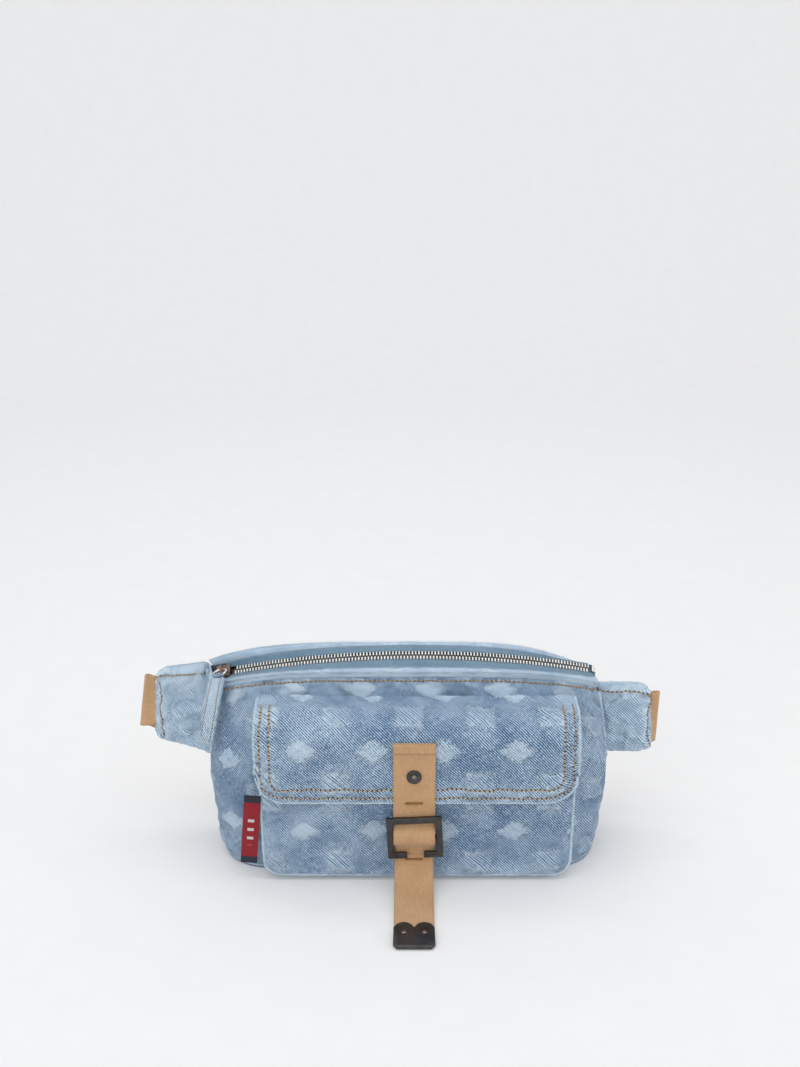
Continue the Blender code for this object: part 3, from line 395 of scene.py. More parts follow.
def edge_distance(sheet, *sides):
    """Metres to the nearest of the named sides of a sheet, or of all four."""
    u, v = sheet.u, sheet.v
    away = {"left": u - u[:, :1], "right": u[:, -1:] - u, "bottom": v - v[:1], "top": v[-1:] - v}
    return np.minimum.reduce([away[side] for side in sides or away])


def crease(sheet, size, seed, height, worn, masks, tall=1.0):
    """Raises narrow ridges where smooth noise crosses zero, and wears their tops."""
    ridge = np.clip(1 - 2.4 * np.abs(wave_noise(sheet.u, sheet.v * tall, size, seed)), 0, 1) ** 2
    for mask in masks:
        ridge = ridge * mask
    sheet.push(height * ridge)
    sheet.wear += worn * ridge


def seam_pull(sheet, distance, seed, depth=0.0005, width=0.0017):
    """Draws the cloth in along a line of stitches and crumples it a little beside it."""
    line = np.exp(-(distance / width) ** 2)
    beside = np.exp(-(distance / (3.2 * width)) ** 2)
    crumple = wave_noise(sheet.u, sheet.v, 0.0035, seed)
    sheet.push(-depth * line + 0.00032 * crumple * beside)
    sheet.wear = np.maximum(sheet.wear, beside * (0.55 + 0.45 * crumple))


# ---------------------------------------------------------------- small repeated shapes

def copies(name, points, faces, *materials):
    """One mesh of separate shapes, points[shape, vertex], that share their faces."""
    index = np.arange(len(points))[:, None, None] * points.shape[1] + np.asarray(faces)[None]
    return mesh_object(name, points.reshape(-1, 3), index.reshape(-1, 4), *materials)


def many(name, template, faces, origins, axes, *materials):
    """Copies of one small shape; axes are three direction rows for each copy."""
    points = origins[:, None] + np.einsum("kc,mcx->mkx", template, axes)
    return copies(name, points, faces, *materials)


def ring_faces(rings, sides):
    """Quads between rings of points, with both ends filled; sides is even."""
    index = np.arange(rings * sides).reshape(rings, sides)
    turned = np.roll(index, -1, 1)
    walls = np.stack([index[:-1], turned[:-1], turned[1:], index[1:]], -1).reshape(-1, 4)
    cap = np.array([(k, k + 1, sides - 2 - k, sides - 1 - k) for k in range(sides // 2 - 1)])
    return np.concatenate([walls, cap[:, ::-1], cap + (rings - 1) * sides])


def path_steps(points, normals, pitch):
    """Even places along a path: points, directions and normals."""
    length = line_lengths(points)
    count = max(2, int(length[-1] / pitch))
    at = (np.arange(count) + 0.5) * length[-1] / count
    ahead, behind = (interp_rows(at + step, length, points) for step in (pitch / 3, -pitch / 3))
    return interp_rows(at, length, points), unit(ahead - behind), unit(interp_rows(at, length, normals))


def stitches(name, paths, pitch=STITCH_PITCH, length=STITCH_LENGTH, radius=STITCH_R):
    """Rows of thread stitches with needle holes between them, along (points, normals) paths."""
    sides, rings = 6, 5
    turn = 2 * np.pi * np.arange(sides) / sides
    template = []
    for x, size in zip((-0.5, -0.36, 0, 0.36, 0.5), (0.15, 0.8, 1, 0.8, 0.15)):
        rise = 0.55 * radius * (1 - (2 * x) ** 2)
        template += [(x * length, size * radius * math.cos(a), rise + size * radius * math.sin(a) * 0.8)
                     for a in turn]
    faces = ring_faces(rings, sides).tolist()
    thread = len(faces)
    hole = len(template)
    for share, depth in ((1.0, 0.00012), (0.15, 0.00022)):
        template += [(pitch / 2 + 1.25 * radius * share * math.cos(a),
                      1.5 * radius * share * math.sin(a), depth) for a in turn]
    faces += (ring_faces(2, sides) + hole).tolist()
    material_of = [0] * thread + [1] * (len(faces) - thread)
    steps = [path_steps(points, normals, pitch) for points, normals in paths]
    middle, along, normal = (np.concatenate([s[k] for s in steps]) for k in range(3))
    across = unit(np.cross(normal, along))
    axes = np.stack([along, across, normal], 1)
    obj = many(name, np.array(template), faces, middle, axes, THREAD, NEEDLE_HOLE)
    obj.data.polygons.foreach_set("material_index", np.tile(material_of, len(middle)).astype(np.int32))
    return obj


def strands(name, roots, directions, normals, length, radius, seed):
    """Loose yarn ends: thin curved fibres from each root."""
    rng = np.random.default_rng(seed)
    sides, rings = 4, 5
    turn = 2 * np.pi * np.arange(sides) / sides
    size = len(roots)
    lengths = length * rng.uniform(0.5, 1.2, size)
    lift = rng.uniform(0.05, 0.35, size)
    sway = rng.uniform(-0.5, 0.5, size)
    across = unit(np.cross(normals, directions))
    points = []
    for k in range(rings):
        s = k / (rings - 1)
        middle = roots + directions * (lengths * s)[:, None]
        middle = middle + normals * (lengths * lift * math.sin(math.pi * s) + 0.0001)[:, None]
        middle = middle + across * (lengths * sway * s * s)[:, None]
        width = radius * (1 - 0.55 * s)
        points += [middle + (normals * math.cos(a) + across * math.sin(a)) * width for a in turn]
    return copies(name, np.stack(points, 1), ring_faces(rings, sides), FRINGE)


def tube(name, points, radius, material, sides=10, rough=0.0, seed=0):
    """A cord, wire or frayed seam through points, closed at its ends."""
    points = np.asarray(points, float)
    along = unit(np.gradient(points, axis=0))
    reference = np.array([0.21, 0.35, 0.91])
    side = unit(np.cross(along, reference))
    up = np.cross(along, side)
    distance = line_lengths(points)
    rings = []
    for k in range(sides):
        angle = 2 * math.pi * k / sides
        size = radius * (1 + rough * wave_noise(distance, 0 * distance + angle * 0.004, 0.0022, seed + k))
        rings.append(points + (side * math.cos(angle) + up * math.sin(angle)) * size[:, None])
    body = np.stack(rings, 1)
    body[0] = lerp(points[:1], body[0], 0.2)
    body[-1] = lerp(points[-1:], body[-1], 0.2)
    obj = mesh_object(name, body.reshape(-1, 3), ring_faces(len(points), sides), material)
    loops = np.empty(len(obj.data.loops), np.int32)
    obj.data.loops.foreach_get("vertex_index", loops)
    uv = np.stack([distance[loops // sides], (loops % sides) * radius], -1)
    cloth_layers(obj, uv, np.full(len(obj.data.vertices), TUBE_WEAR))
    return obj


def lathe(name, profile, centre, axis, material):
    """A turned shape: (radius, height along axis) points from its middle outwards."""
    axis = unit(np.array(axis, float))
    x = unit(np.cross(axis, (0.3, 0.1, 0.9)))
    y = np.cross(axis, x)
    turn = 2 * np.pi * np.arange(LATHE_SIDES) / LATHE_SIDES
    rings = [np.array(centre) + axis * h + (np.cos(turn)[:, None] * x + np.sin(turn)[:, None] * y) * r
             for r, h in profile]
    return mesh_object(name, np.concatenate(rings), ring_faces(len(rings), LATHE_SIDES)[:, ::-1], material)


def refined(node, bevel, material, segments=3):
    """A CAD piece with its edges rounded, as a new piece that stands for it."""
    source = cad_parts[node]
    bm = bmesh.new()
    bm.from_mesh(source.data)
    bm.transform(source.matrix_world)
    bmesh.ops.remove_doubles(bm, verts=bm.verts, dist=1e-6)
    bmesh.ops.dissolve_limit(bm, angle_limit=math.radians(1), verts=bm.verts, edges=bm.edges)
    data = bpy.data.meshes.new(node + "_fine")
    bm.to_mesh(data)
    bm.free()
    obj = add_object(node + "_fine", data)
    rounding = obj.modifiers.new("Rounding", "BEVEL")
    rounding.width, rounding.segments, rounding.harden_normals = bevel, segments, True
    rounding.limit_method, rounding.angle_limit = "ANGLE", math.radians(35)
    data.shade_smooth()
    data.set_sharp_from_angle(angle=math.radians(50))
    data.materials.append(material)
    return obj


def finish_piece(obj, nodes):
    if nodes:
        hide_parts(*nodes)


def keep(obj, body, slot, *nodes):
    """Fixes a finished piece to a body."""
    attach(obj, body)
    finish_piece(obj, nodes)


def bend(obj, bodies, start, end, slot, *nodes):
    """Bakes a finished piece's placement into its mesh and hides the CAD pieces it stands for; the bodies and
    the two points it is given are not used.
    """
    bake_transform(obj)
    finish_piece(obj, nodes)


# ---------------------------------------------------------------- materials

class Surface:
    """A procedural material: its shader's own settings, and helpers that add the nodes before it."""

    def __init__(self, name, settings):
        self.material = bpy.data.materials.new(name)
        self.material.use_nodes = True
        self.tree = self.material.node_tree
        self.inputs = self.tree.nodes["Principled BSDF"].inputs
        for key, value in settings.items():
            self.inputs[key].default_value = value

    def link(self, output, key):
        self.tree.links.new(output, self.inputs[key])

    def node(self, kind, inputs, **settings):
        made = self.tree.nodes.new("ShaderNode" + kind)
        for key, value in settings.items():
            setattr(made, key, value)
        for key, value in inputs.items():
            if isinstance(value, bpy.types.NodeSocket):
                self.tree.links.new(value, made.inputs[key])
            else:
                made.inputs[key].default_value = value
        return made.outputs

    def maths(self, operation, *values):
        return self.node("Math", dict(enumerate(values)), operation=operation)[0]

    def apart(self, a, b):
        return self.maths("ABSOLUTE", self.maths("SUBTRACT", a, b))

    def limits(self, value, low, high):
        """0 at low, 1 at high."""
        return self.node("MapRange", {"Value": value, "From Min": low, "From Max": high})[0]

    def noise(self, vector, scale, detail=2.0):
        """Noise at one scale, or at a scale for each axis."""
        if isinstance(scale, tuple):
            vector, scale = self.node("VectorMath", {0: vector, 1: scale}, operation="MULTIPLY")[0], 1.0
        return self.node("TexNoise", {"Vector": vector, "Scale": scale, "Detail": detail})["Fac"]

    def bands(self, vector, pitch, direction, distortion):
        """Soft stripes; a diagonal's pitch is along either axis."""
        scale = (DIAGONAL_TURN if direction == "DIAGONAL" else AXIS_TURN) / pitch
        return self.node("TexWave", {"Vector": vector, "Scale": scale, "Distortion": distortion, "Detail": 2.0},
                         wave_type="BANDS", bands_direction=direction)["Fac"]

    def weighted(self, base, *terms):
        """base plus each weight times its value's distance from a half."""
        total = base
        for weight, value in terms:
            total = self.maths("MULTIPLY_ADD", self.maths("SUBTRACT", value, 0.5), weight, total)
        return total

    def ramp(self, factor, stops):
        outputs = self.node("ValToRGB", {"Fac": factor})
        elements, stops = outputs[0].node.color_ramp.elements, list(stops)
        while len(elements) < len(stops):
            elements.new(0.5)
        for element, (place, colour) in zip(elements, stops):
            element.position = place
            element.color = (*colour, 1)
        return outputs["Color"]

    def mix(self, factor, a, b):
        outputs = self.node("Mix", {"Factor": factor, "A": a, "B": b}, data_type="RGBA")
        return [socket for socket in outputs if socket.type == "RGBA"][0]

    def place(self):
        return self.node("TexCoord", {})["Object"]

    def cloth_place(self):
        """Metres across and along the cloth."""
        return self.node("UVMap", {}, uv_map="UVMap")["UV"]

    def finish(self, colour, height, distance, strength=0.7):
        self.link(colour, "Base Color")
        bump = self.node("Bump", {"Height": height, "Distance": distance, "Strength": strength})
        self.link(bump["Normal"], "Normal")
        return self.material


def motif_nodes(look, uv):
    """Mask of the woven pattern: hatched blocks with light ends, and rough diamonds."""
    maths = look.maths
    rough = look.node("TexNoise", {"Vector": uv, "Scale": 620.0, "Detail": 4.0})["Color"]
    rough = look.node("VectorMath", {0: rough, 1: (0.5, 0.5, 0.5)}, operation="SUBTRACT")[0]
    rough = look.node("VectorMath", {0: rough, "Scale": MOTIF_FRAY}, operation="SCALE")[0]
    moved = look.node("VectorMath", {0: uv, 1: rough}, operation="ADD")[0]
    split = look.node("SeparateXYZ", {0: moved})

    def away(axis, shift, size):
        """Distance from the nearest centre as a share of the motif's half size."""
        turns = maths("FRACT", maths("MULTIPLY_ADD", split[axis], 1 / MOTIF_PERIOD, shift))
        return maths("DIVIDE", maths("MULTIPLY", look.apart(turns, 0.5), MOTIF_PERIOD), size[axis])

    across, up = away(0, 0.5, MOTIF_BLOCK), away(1, 0.5, MOTIF_BLOCK)
    block = look.limits(maths("MAXIMUM", across, up), 1.0, 0.93)
    hatch = maths("MULTIPLY_ADD", look.bands(uv, HATCH_PITCH, "DIAGONAL", 0.6), 0.95, -0.05)
    hatched = maths("MAXIMUM", hatch, look.limits(up, 0.74, 0.80))
    diamond = maths("ADD", away(0, 0.0, MOTIF_DIAMOND), away(1, 0.0, MOTIF_DIAMOND))
    knots = maths("MULTIPLY_ADD", look.noise(uv, 1100.0, 3.0), 1.0, 0.45)
    filled = maths("MULTIPLY", look.limits(diamond, 1.0, 0.93), knots)
    return maths("MAXIMUM", maths("MULTIPLY", block, hatched), filled)


def denim(name, colours, base=0.42, motif=True, contrast=1.3):
    """Washed twill: diagonal lines, uneven yarns, cloudy fading, and paler where the mesh says it is worn."""
    look = Surface(name, {"Roughness": 0.9, "Sheen Weight": 0.16, "Sheen Roughness": 0.5,
                          "Specular IOR Level": 0.25})
    uv = look.cloth_place()
    twill = look.limits(look.bands(uv, TWILL_PITCH, "DIAGONAL", 0.8), 0.2, 0.8)
    yarn, weft = look.noise(uv, (1500.0, 260.0, 1.0)), look.noise(uv, (220.0, 1300.0, 1.0))
    patch, broad = look.noise(uv, 42.0, 5.0), look.noise(uv, 11.0)
    wear = look.node("Attribute", {}, attribute_name="wear")["Fac"]
    factor = look.weighted(base, (0.62 * contrast, twill), (1.3 * contrast, yarn), (0.9 * contrast, weft),
                           (0.75 * contrast, patch), (0.55 * contrast, broad))
    factor = look.maths("MULTIPLY_ADD", wear, 0.34, factor)
    height = look.weighted(0.5, (0.5, twill), (0.5, yarn), (0.3, weft))
    if motif:
        pattern = motif_nodes(look, uv)
        factor = look.maths("MULTIPLY_ADD", pattern, 0.64, factor)
        height = look.maths("MULTIPLY_ADD", pattern, 1.2, height)
    return look.finish(look.ramp(factor, zip((0.0, 0.45, 1.0), colours)), height, 0.0005, 0.8)


def woven(name, colours, pitch, distance=0.0003):
    """Ribbed or plain-woven cloth: pitch across and along, in metres."""
    look = Surface(name, {"Roughness": 0.85, "Sheen Weight": 0.15, "Specular IOR Level": 0.3})
    uv = look.cloth_place()
    ribs, columns = look.bands(uv, pitch[1], "Y", 0.7), look.bands(uv, pitch[0], "X", 0.7)
    fine, patch, fibre = look.noise(uv, 1800.0), look.noise(uv, 45.0, 4.0), look.noise(uv, (900.0, 150.0, 1.0))
    factor = look.weighted(0.5, (0.26, ribs), (0.07, columns), (0.5, fine), (0.45, patch), (0.35, fibre))
    height = look.weighted(0.5, (0.7, ribs), (0.4, columns), (0.3, fine))
    return look.finish(look.ramp(factor, zip((0.0, 0.5, 1.0), colours)), height, distance)


def metal(name, dark, light, roughness, metallic=1.0):
    """Slightly clouded metal with fine scratches."""
    look = Surface(name, {"Metallic": metallic})
    place = look.place()
    cloud, fine = look.noise(place, 160.0, 4.0), look.noise(place, (2600.0, 500.0, 2600.0), 3.0)
    look.link(look.weighted(roughness, (0.14, fine), (0.14, cloud)), "Roughness")
    factor = look.weighted(0.5, (0.9, cloud), (0.5, fine))
    return look.finish(look.ramp(factor, ((0.1, dark), (0.9, light))), fine, 0.0001, 0.35)


def plastic(name, dark, light):
    """Moulded plastic with a fine grain."""
    look = Surface(name, {})
    place = look.place()
    grain, cloud = look.noise(place, 1700.0, 3.0), look.noise(place, 60.0, 3.0)
    look.link(look.weighted(0.42, (0.25, grain), (0.2, cloud)), "Roughness")
    factor = look.weighted(0.5, (0.6, grain), (0.7, cloud))
    return look.finish(look.ramp(factor, ((0.1, dark), (0.9, light))), grain, 0.0001, 0.5)


def label_cloth(name):
    """Red woven label with dark ends and a few plain light bars."""
    look = Surface(name, {"Roughness": 0.8, "Sheen Weight": 0.04})
    maths, uv = look.maths, look.cloth_place()
    split = look.node("SeparateXYZ", {0: uv})
    fine, ribs = look.noise(uv, 1500.0), look.bands(uv, 0.0006, "Y", 0.5)
    red = look.ramp(look.weighted(0.5, (0.8, fine), (0.4, ribs)),
                    ((0.1, (0.17, 0.004, 0.010)), (0.9, (0.43, 0.012, 0.026))))
    middle = look.apart(split[1], LABEL_H / 2)
    ends = maths("GREATER_THAN", middle, LABEL_H / 2 - LABEL_END)
    bar = maths("LESS_THAN", maths("PINGPONG", split[1], 0.0035), 0.0011)
    within = maths("LESS_THAN", middle, 0.0125)
    near = maths("LESS_THAN", look.apart(split[0], LABEL_W / 2), 0.0022)
    marks = maths("MULTIPLY", maths("MULTIPLY", bar, within), near)
    ended = look.mix(ends, red, (0.02, 0.022, 0.04, 1))
    return look.finish(look.mix(marks, ended, (0.62, 0.60, 0.58, 1)), ribs, 0.0002)


BLUES = ((0.052, 0.115, 0.225), (0.180, 0.296, 0.448), (0.575, 0.700, 0.815))
PALE_BLUES = ((0.095, 0.190, 0.335), (0.330, 0.480, 0.635), (0.700, 0.815, 0.905))
DENIM = denim("denim_bleached", BLUES)
DENIM_PLAIN = denim("denim_plain", BLUES, 0.50, False)
DENIM_PALE = denim("denim_pale", PALE_BLUES, 0.66, False)
DENIM_FRAYED = denim("denim_frayed", PALE_BLUES, 0.62, False, 1.4)
# Darker, greyer copy of the denim as painted shade, for the back panel, the base and the flap's underside, the
# sides turned away from the light
DENIM_DARK = denim("denim_shaded", ((0.06, 0.10, 0.17), (0.16, 0.25, 0.37), (0.40, 0.50, 0.62)), 0.42, False)
LINING = woven("lining_cloth", ((0.05, 0.07, 0.10), (0.11, 0.15, 0.20), (0.22, 0.27, 0.33)), (0.0007, 0.0007))
TAPE = woven("tape_cloth", ((0.05, 0.11, 0.17), (0.150, 0.255, 0.355), (0.34, 0.46, 0.56)), (0.0011, 0.0009))
WEBBING = woven("webbing_cloth", ((0.36, 0.185, 0.080), (0.61, 0.365, 0.190), (0.79, 0.55, 0.33)),
                (0.0013, 0.00095), 0.0004)
THREAD = woven("thread_twist", ((0.36, 0.23, 0.12), (0.66, 0.47, 0.27), (0.84, 0.67, 0.46)), (0.0005, 0.0005))
TACK_THREAD = woven("tack_thread", ((0.20, 0.09, 0.02), (0.42, 0.21, 0.045), (0.62, 0.36, 0.11)),
                    (0.0005, 0.0005))
FRINGE = woven("yarn_ends", ((0.45, 0.55, 0.66), (0.66, 0.75, 0.83), (0.86, 0.90, 0.93)), (0.0005, 0.0005))
NEEDLE_HOLE = woven("needle_hole", ((0.02, 0.03, 0.05), (0.035, 0.055, 0.09), (0.07, 0.10, 0.16)),
                    (0.001, 0.001))
SILVER = metal("silver_metal", (0.62, 0.61, 0.59), (0.93, 0.92, 0.90), 0.34)
CHAIN_CLOTH = woven("chain_cloth", ((0.16, 0.19, 0.22), (0.30, 0.34, 0.37), (0.50, 0.54, 0.57)),
                    (0.0008, 0.0008))
GUNMETAL = metal("gunmetal_satin", (0.035, 0.034, 0.036), (0.115, 0.108, 0.104), 0.40, 0.85)
COPPERY = metal("copper_grey", (0.16, 0.11, 0.085), (0.42, 0.31, 0.25), 0.34)
PLASTIC = plastic("black_moulded", (0.012, 0.012, 0.013), (0.040, 0.040, 0.043))


# ---------------------------------------------------------------- panels

def grid(count_u, count_v, formula):
    u, v = np.meshgrid(np.linspace(0, 1, count_u), np.linspace(0, 1, count_v))
    return formula(u, v)


def border_pin(rows, columns, width=2.0):
    """1 on the border of a grid, falling to 0 a few cells in."""
    row, column = np.arange(rows)[:, None], np.arange(columns)[None]
    away = np.minimum(np.minimum(row, rows - 1 - row), np.minimum(column, columns - 1 - column))
    return np.clip(1 - away / width, 0, 1)


def cell_counts(points):
    along, up = lengths_of(points)
    return max(6, round(along[-1] / SIM_CELL)), max(6, round(up[-1] / SIM_CELL))


def cloth_sheet(formula, growth, cap, seed, motif_at=None, keep_in=None, cell=CELL, outward=False):
    """A Sheet from a formula of (u, v) in 0..1: settled, then finer, with its pattern's relief."""
    columns, rows = cell_counts(grid(30, 30, formula))
    points = grid(columns, rows, formula)
    moved = settle(points, border_pin(rows, columns), growth, cap, seed)
    if keep_in is not None:
        moved = moved * keep_in(points)[..., None]
    if outward:
        normal = normals_of(points)
        depth = (moved * normal).sum(-1, keepdims=True)
        moved = moved + normal * (np.abs(depth) - depth)
    along, up = lengths_of(points)
    x, y = np.meshgrid(along, up)
    soft = 1 - border_pin(rows, columns, 3.0)
    puff = 0.0005 * wave_noise(x, y, 0.030, seed + 1) * soft
    if keep_in is not None:
        puff = puff * keep_in(points)
    sheet = Sheet(points + moved + normals_of(points) * puff[..., None],
                  *(motif_at if motif_at is not None else (0.0, 0.0)))
    sheet.finer(cell)
    if motif_at is not None:
        mask = motif_mask(sheet.u, sheet.v)
        sheet.push(MOTIF_RISE * mask * (1 + 0.5 * wave_noise(sheet.u, sheet.v, 0.003, seed + 2)))
    sheet.push(0.00010 * wave_noise(sheet.u, sheet.v, 0.004, seed + 3))
    return sheet


def row_path(sheet, fv, start=0.0, stop=1.0, lift=0.0002):
    count = max(8, int(lengths_of(sheet.points)[0][-1] * (stop - start) / 0.002))
    points, normals = sheet.at(np.linspace(start, stop, count), np.full(count, fv))
    return points + normals * lift, normals


def column_path(sheet, fu, start=0.0, stop=1.0, lift=0.0002):
    count = max(8, int(lengths_of(sheet.points)[1][-1] * (stop - start) / 0.002))
    points, normals = sheet.at(np.full(count, fu), np.linspace(start, stop, count))
    return points + normals * lift, normals


def share(sheet, metres, axis):
    """A distance in metres as a fraction of a sheet's width (0) or height (1)."""
    along = lengths_of(sheet.points)[axis]
    return float(np.interp(metres, along, np.linspace(0, 1, len(along))))


def share_at(metres, along):
    """Where pattern coordinates fall on a sheet's row or column, as shares; -1 or 2 when off the sheet."""
    order, steps = np.argsort(along), np.linspace(0, 1, len(along))
    return np.interp(metres, along[order], steps[order], left=-1.0, right=2.0)


def motif_fringe(name, sheet, u_range, v_range, seed):
    """Loose yarns round the edges of the woven pattern that fall inside the sheet's visible part."""
    rng = np.random.default_rng(seed)
    across, up = sheet.u[sheet.u.shape[0] // 2], sheet.v[:, sheet.v.shape[1] // 2]
    places, ways = [], []
    for column in range(-8, 9):
        for row in range(-8, 9):
            block = row % 2 == 0
            centre = np.array([(column + (0 if block else 0.5)) * MOTIF_PERIOD, row * MOTIF_PERIOD / 2])
            count = 42
            side = rng.choice((-1.0, 1.0), count)
            t = rng.uniform(-1, 1, count)
            if block:
                offset = np.stack([t * MOTIF_BLOCK[0], side * MOTIF_BLOCK[1] * 0.97], -1)
                way = np.stack([0.25 * rng.normal(size=count), side], -1)
            else:
                reach = rng.uniform(0.55, 1.0, count)
                offset = np.stack([side * reach * (1 - np.abs(t)) * MOTIF_DIAMOND[0], t * MOTIF_DIAMOND[1]], -1)
                way = np.stack([side, 0.35 * rng.normal(size=count)], -1)
            places.append(centre + offset)
            ways.append(way)
    places, ways = np.concatenate(places), unit(np.concatenate(ways))
    fu, fv = share_at(places[:, 0], across), share_at(places[:, 1], up)
    kept = (fu > u_range[0]) & (fu < u_range[1]) & (fv > v_range[0]) & (fv < v_range[1])
    ahead = places[kept] + ways[kept] * 0.001
    roots, normals = sheet.at(fu[kept], fv[kept])
    tips, _ = sheet.at(np.clip(share_at(ahead[:, 0], across), 0, 1), np.clip(share_at(ahead[:, 1], up), 0, 1))
    return strands(name, roots, unit(tips - roots), normals, 0.0030, 0.00016, seed)


def edge_fringe(name, points, outward, normals, seed, length=0.0022, pitch=0.0007):
    """Frayed yarns along a raw edge."""
    rng = np.random.default_rng(seed)
    middle, along, normal = path_steps(points, normals, pitch)
    away = interp_rows(np.linspace(0, 1, len(middle)), np.linspace(0, 1, len(outward)), outward)
    ways = unit(away + along * rng.normal(0, 0.45, (len(middle), 1)))
    return strands(name, middle, ways, normal, length, 0.00015, seed)


front = cloth_sheet(lambda u, v: front_point(0.002 + 0.996 * u, 0.99 * v), 0.055, 0.0022, 11,
                    FRONT_MOTIF_AT)
crease(front, 0.026, 23, 0.0022, 0.3, (smooth(0.098, 0.125, np.abs(front.points[..., 0])),
                                       smooth(0, 0.02, edge_distance(front, "top", "left", "right"))), 0.8)
seam_pull(front, np.abs(edge_distance(front, "top") - FRONT_ROW_INSET), 21)
keep(front.build("front_body", DENIM_T, DENIM, LINING), "root", "denim", "front_panel")
keep(stitches("front_stitching", [row_path(front, 1 - share(front, FRONT_ROW_INSET, 1))]), "root", "thread")
keep(motif_fringe("front_yarns", front, (0.02, 0.98), (0.80, 0.97), 31), "root", "denim")

for side, name in SIDES:
    def gusset_formula(u, v, side=side):
        w = lerp(0.015, 0.955, u if side > 0 else 1 - u)
        return side_point(side, w, 0.99 * v)
    gusset = cloth_sheet(gusset_formula, 0.08, 0.0024, 41 + side)
    seam_pull(gusset, edge_distance(gusset, "left", "right"), 43 + side, 0.0004)
    keep(gusset.build("gusset_" + name, DENIM_T, DENIM_PALE, LINING), "root", "denim", "side_gusset_" + name)
    row = column_path(gusset, 0.10 if side > 0 else 0.90, 0.03, 0.97)
    keep(stitches("gusset_stitching_" + name, [row]), "root", "thread")

back = cloth_sheet(lambda u, v: back_point(0.002 + 0.996 * u, 0.97 * v), 0.025, 0.0012, 51)
seam_pull(back, np.abs(edge_distance(back, "top", "left", "right") - BACK_ROW_INSET), 53)
# The back panel takes the darker denim, painted shade
keep(back.build("back_body", DENIM_T, DENIM_DARK, LINING), "root", "denim_dark", "back_panel")
inset_u, inset_v = (share(back, BACK_ROW_INSET, axis) for axis in (0, 1))
rows = [column_path(back, u, 0.03, 0.96) for u in (inset_u, 1 - inset_u)]
rows.insert(0, row_path(back, 1 - inset_v, 0.02, 0.98))
keep(stitches("back_stitching", rows), "root", "thread")

for side, name in SIDES:
    v = np.linspace(0.0, 0.965, 90)
    line = side_point(side, np.full(90, 0.975), v) + np.array([side * 0.0002, 0, 0])
    keep(tube("rear_piping_" + name, line, 0.0019, DENIM_PLAIN, 10, 0.15, 57 + side), "root", "denim")
    line = side_point(side, np.full(90, 0.0), v) + np.array([side * 0.0001, 0, 0])
    keep(tube("side_seam_" + name, line, 0.0011, DENIM_PALE, 8, 0.25, 67 + side), "root", "denim")

bag_front = Sheet(grid(60, 12, lambda u, v: front_point(0.03 + 0.94 * u, lerp(0.02, 0.86, v), 0.0042)))
bag_back = Sheet(grid(50, 12, lambda u, v: back_point(0.04 + 0.92 * u, lerp(0.02, 0.86, v))
                      - np.array([0, 0.0042, 0])))
keep(bag_front.build("lining_front", 0.0006, LINING), "root", "lining", "main_lining")
keep(bag_back.build("lining_back", 0.0006, LINING), "root", "lining", "main_lining")


def base_formula(u, v):
    low, out = base_path(u)
    rear = low.copy()
    rear[..., 1] = BASE_BACK_Y
    point = lerp(low, rear, v[..., None])
    point[..., 2] = BASE_Z
    return point


base = Sheet(grid(90, 24, base_formula))
base.push(0.00015 * wave_noise(base.u, base.v, 0.012, 61) - 0.00018)
# The base takes the darker denim, painted shade
keep(base.build("base_cloth", 0.0019, DENIM_DARK), "root", "denim_dark", "base_panel")
low_edge = grid(140, 1, lambda u, v: base_path(u)[0] - np.array([0, 0, 0.0004]))[0]
keep(tube("base_seam", low_edge, 0.0010, DENIM_FRAYED, 8, 0.25, 63), "root", "denim")


# ---------------------------------------------------------------- zip

def zip_edges(low, high, ends, start, stop, count):
    """Points on a band beside the chain: metres out from it, or back from the edge where negative."""
    t = np.linspace(start, stop, count)
    side = ZIP_FRONT if ends is SEAM else -ZIP_FRONT
    root = zip_point(t) + side * TAPE_START
    away = edge_curve(ends, edge_share(ends, t)) - root
    length = np.linalg.norm(away, axis=-1)
    lines = [distance - TAPE_START if distance > 0 else length + distance for distance in (low, high)]
    return [root + unit(away) * np.asarray(reach)[..., None] * np.ones((count, 1)) for reach in lines]


def band_sheet(name, low, high, ends, start, stop, thickness, material, rows, seed, arch, ripple):
    near, far = zip_edges(low, high, ends, start, stop, 240)
    v = np.linspace(0, 1, rows)[:, None, None]
    if ends is SEAM:
        points = lerp(far[None], near[None], v)
    else:
        points = lerp(near[None], far[None], v)
    band = Sheet(points)
    band.push(arch * np.sin(np.pi * v[..., 0]) * np.ones(240)
              + ripple * wave_noise(band.u, band.v, 0.006, seed))
    return band, band.build(name, thickness, material, None, 0.0)


for ends, name, seed in ((SEAM, "front", 71), (RIM, "rear", 75)):
    _, tape = band_sheet("tape_" + name, TAPE_START, -0.0030, ends, 0.03, 0.985, 0.0007, TAPE, 10, seed,
                         0.0003, 0.00012)
    keep(tape, "root", "zip_tape", "zip_tape_" + name)
    binding, piece = band_sheet("binding_" + name, -0.0052, -0.0001, ends, 0.004, 0.996, 0.0011, DENIM_FRAYED,
                                8, seed + 1, 0.0011, 0.00030)
    keep(piece, "root", "denim", name + "_binding")
    near, far = zip_edges(-0.0050, -0.0002, ends, 0.004, 0.996, 240)
    up = normals_of(binding.points)[4]
    keep(edge_fringe("binding_yarns_" + name, near + up * 0.0005, unit(near - far), up, seed + 2),
         "root", "denim")
    outward = unit(far - near + up * 0.006)
    keep(edge_fringe("edge_yarns_" + name, far + up * 0.0006, outward, up, seed + 3, 0.0016), "root", "denim")

rim_path = edge_curve(RIM, np.linspace(0.015, 0.99, 160)) - np.array([0, -0.0004, 0.0014])
keep(tube("rim_fold", rim_path, 0.0019, DENIM_FRAYED, 10, 0.22, 81), "root", "denim")
seam_path = edge_curve(SEAM, np.linspace(0, 1, 160)) - np.array([0, 0.0004, 0.0012])
keep(tube("seam_fold", seam_path, 0.0013, DENIM_FRAYED, 10, 0.25, 83), "root", "denim")

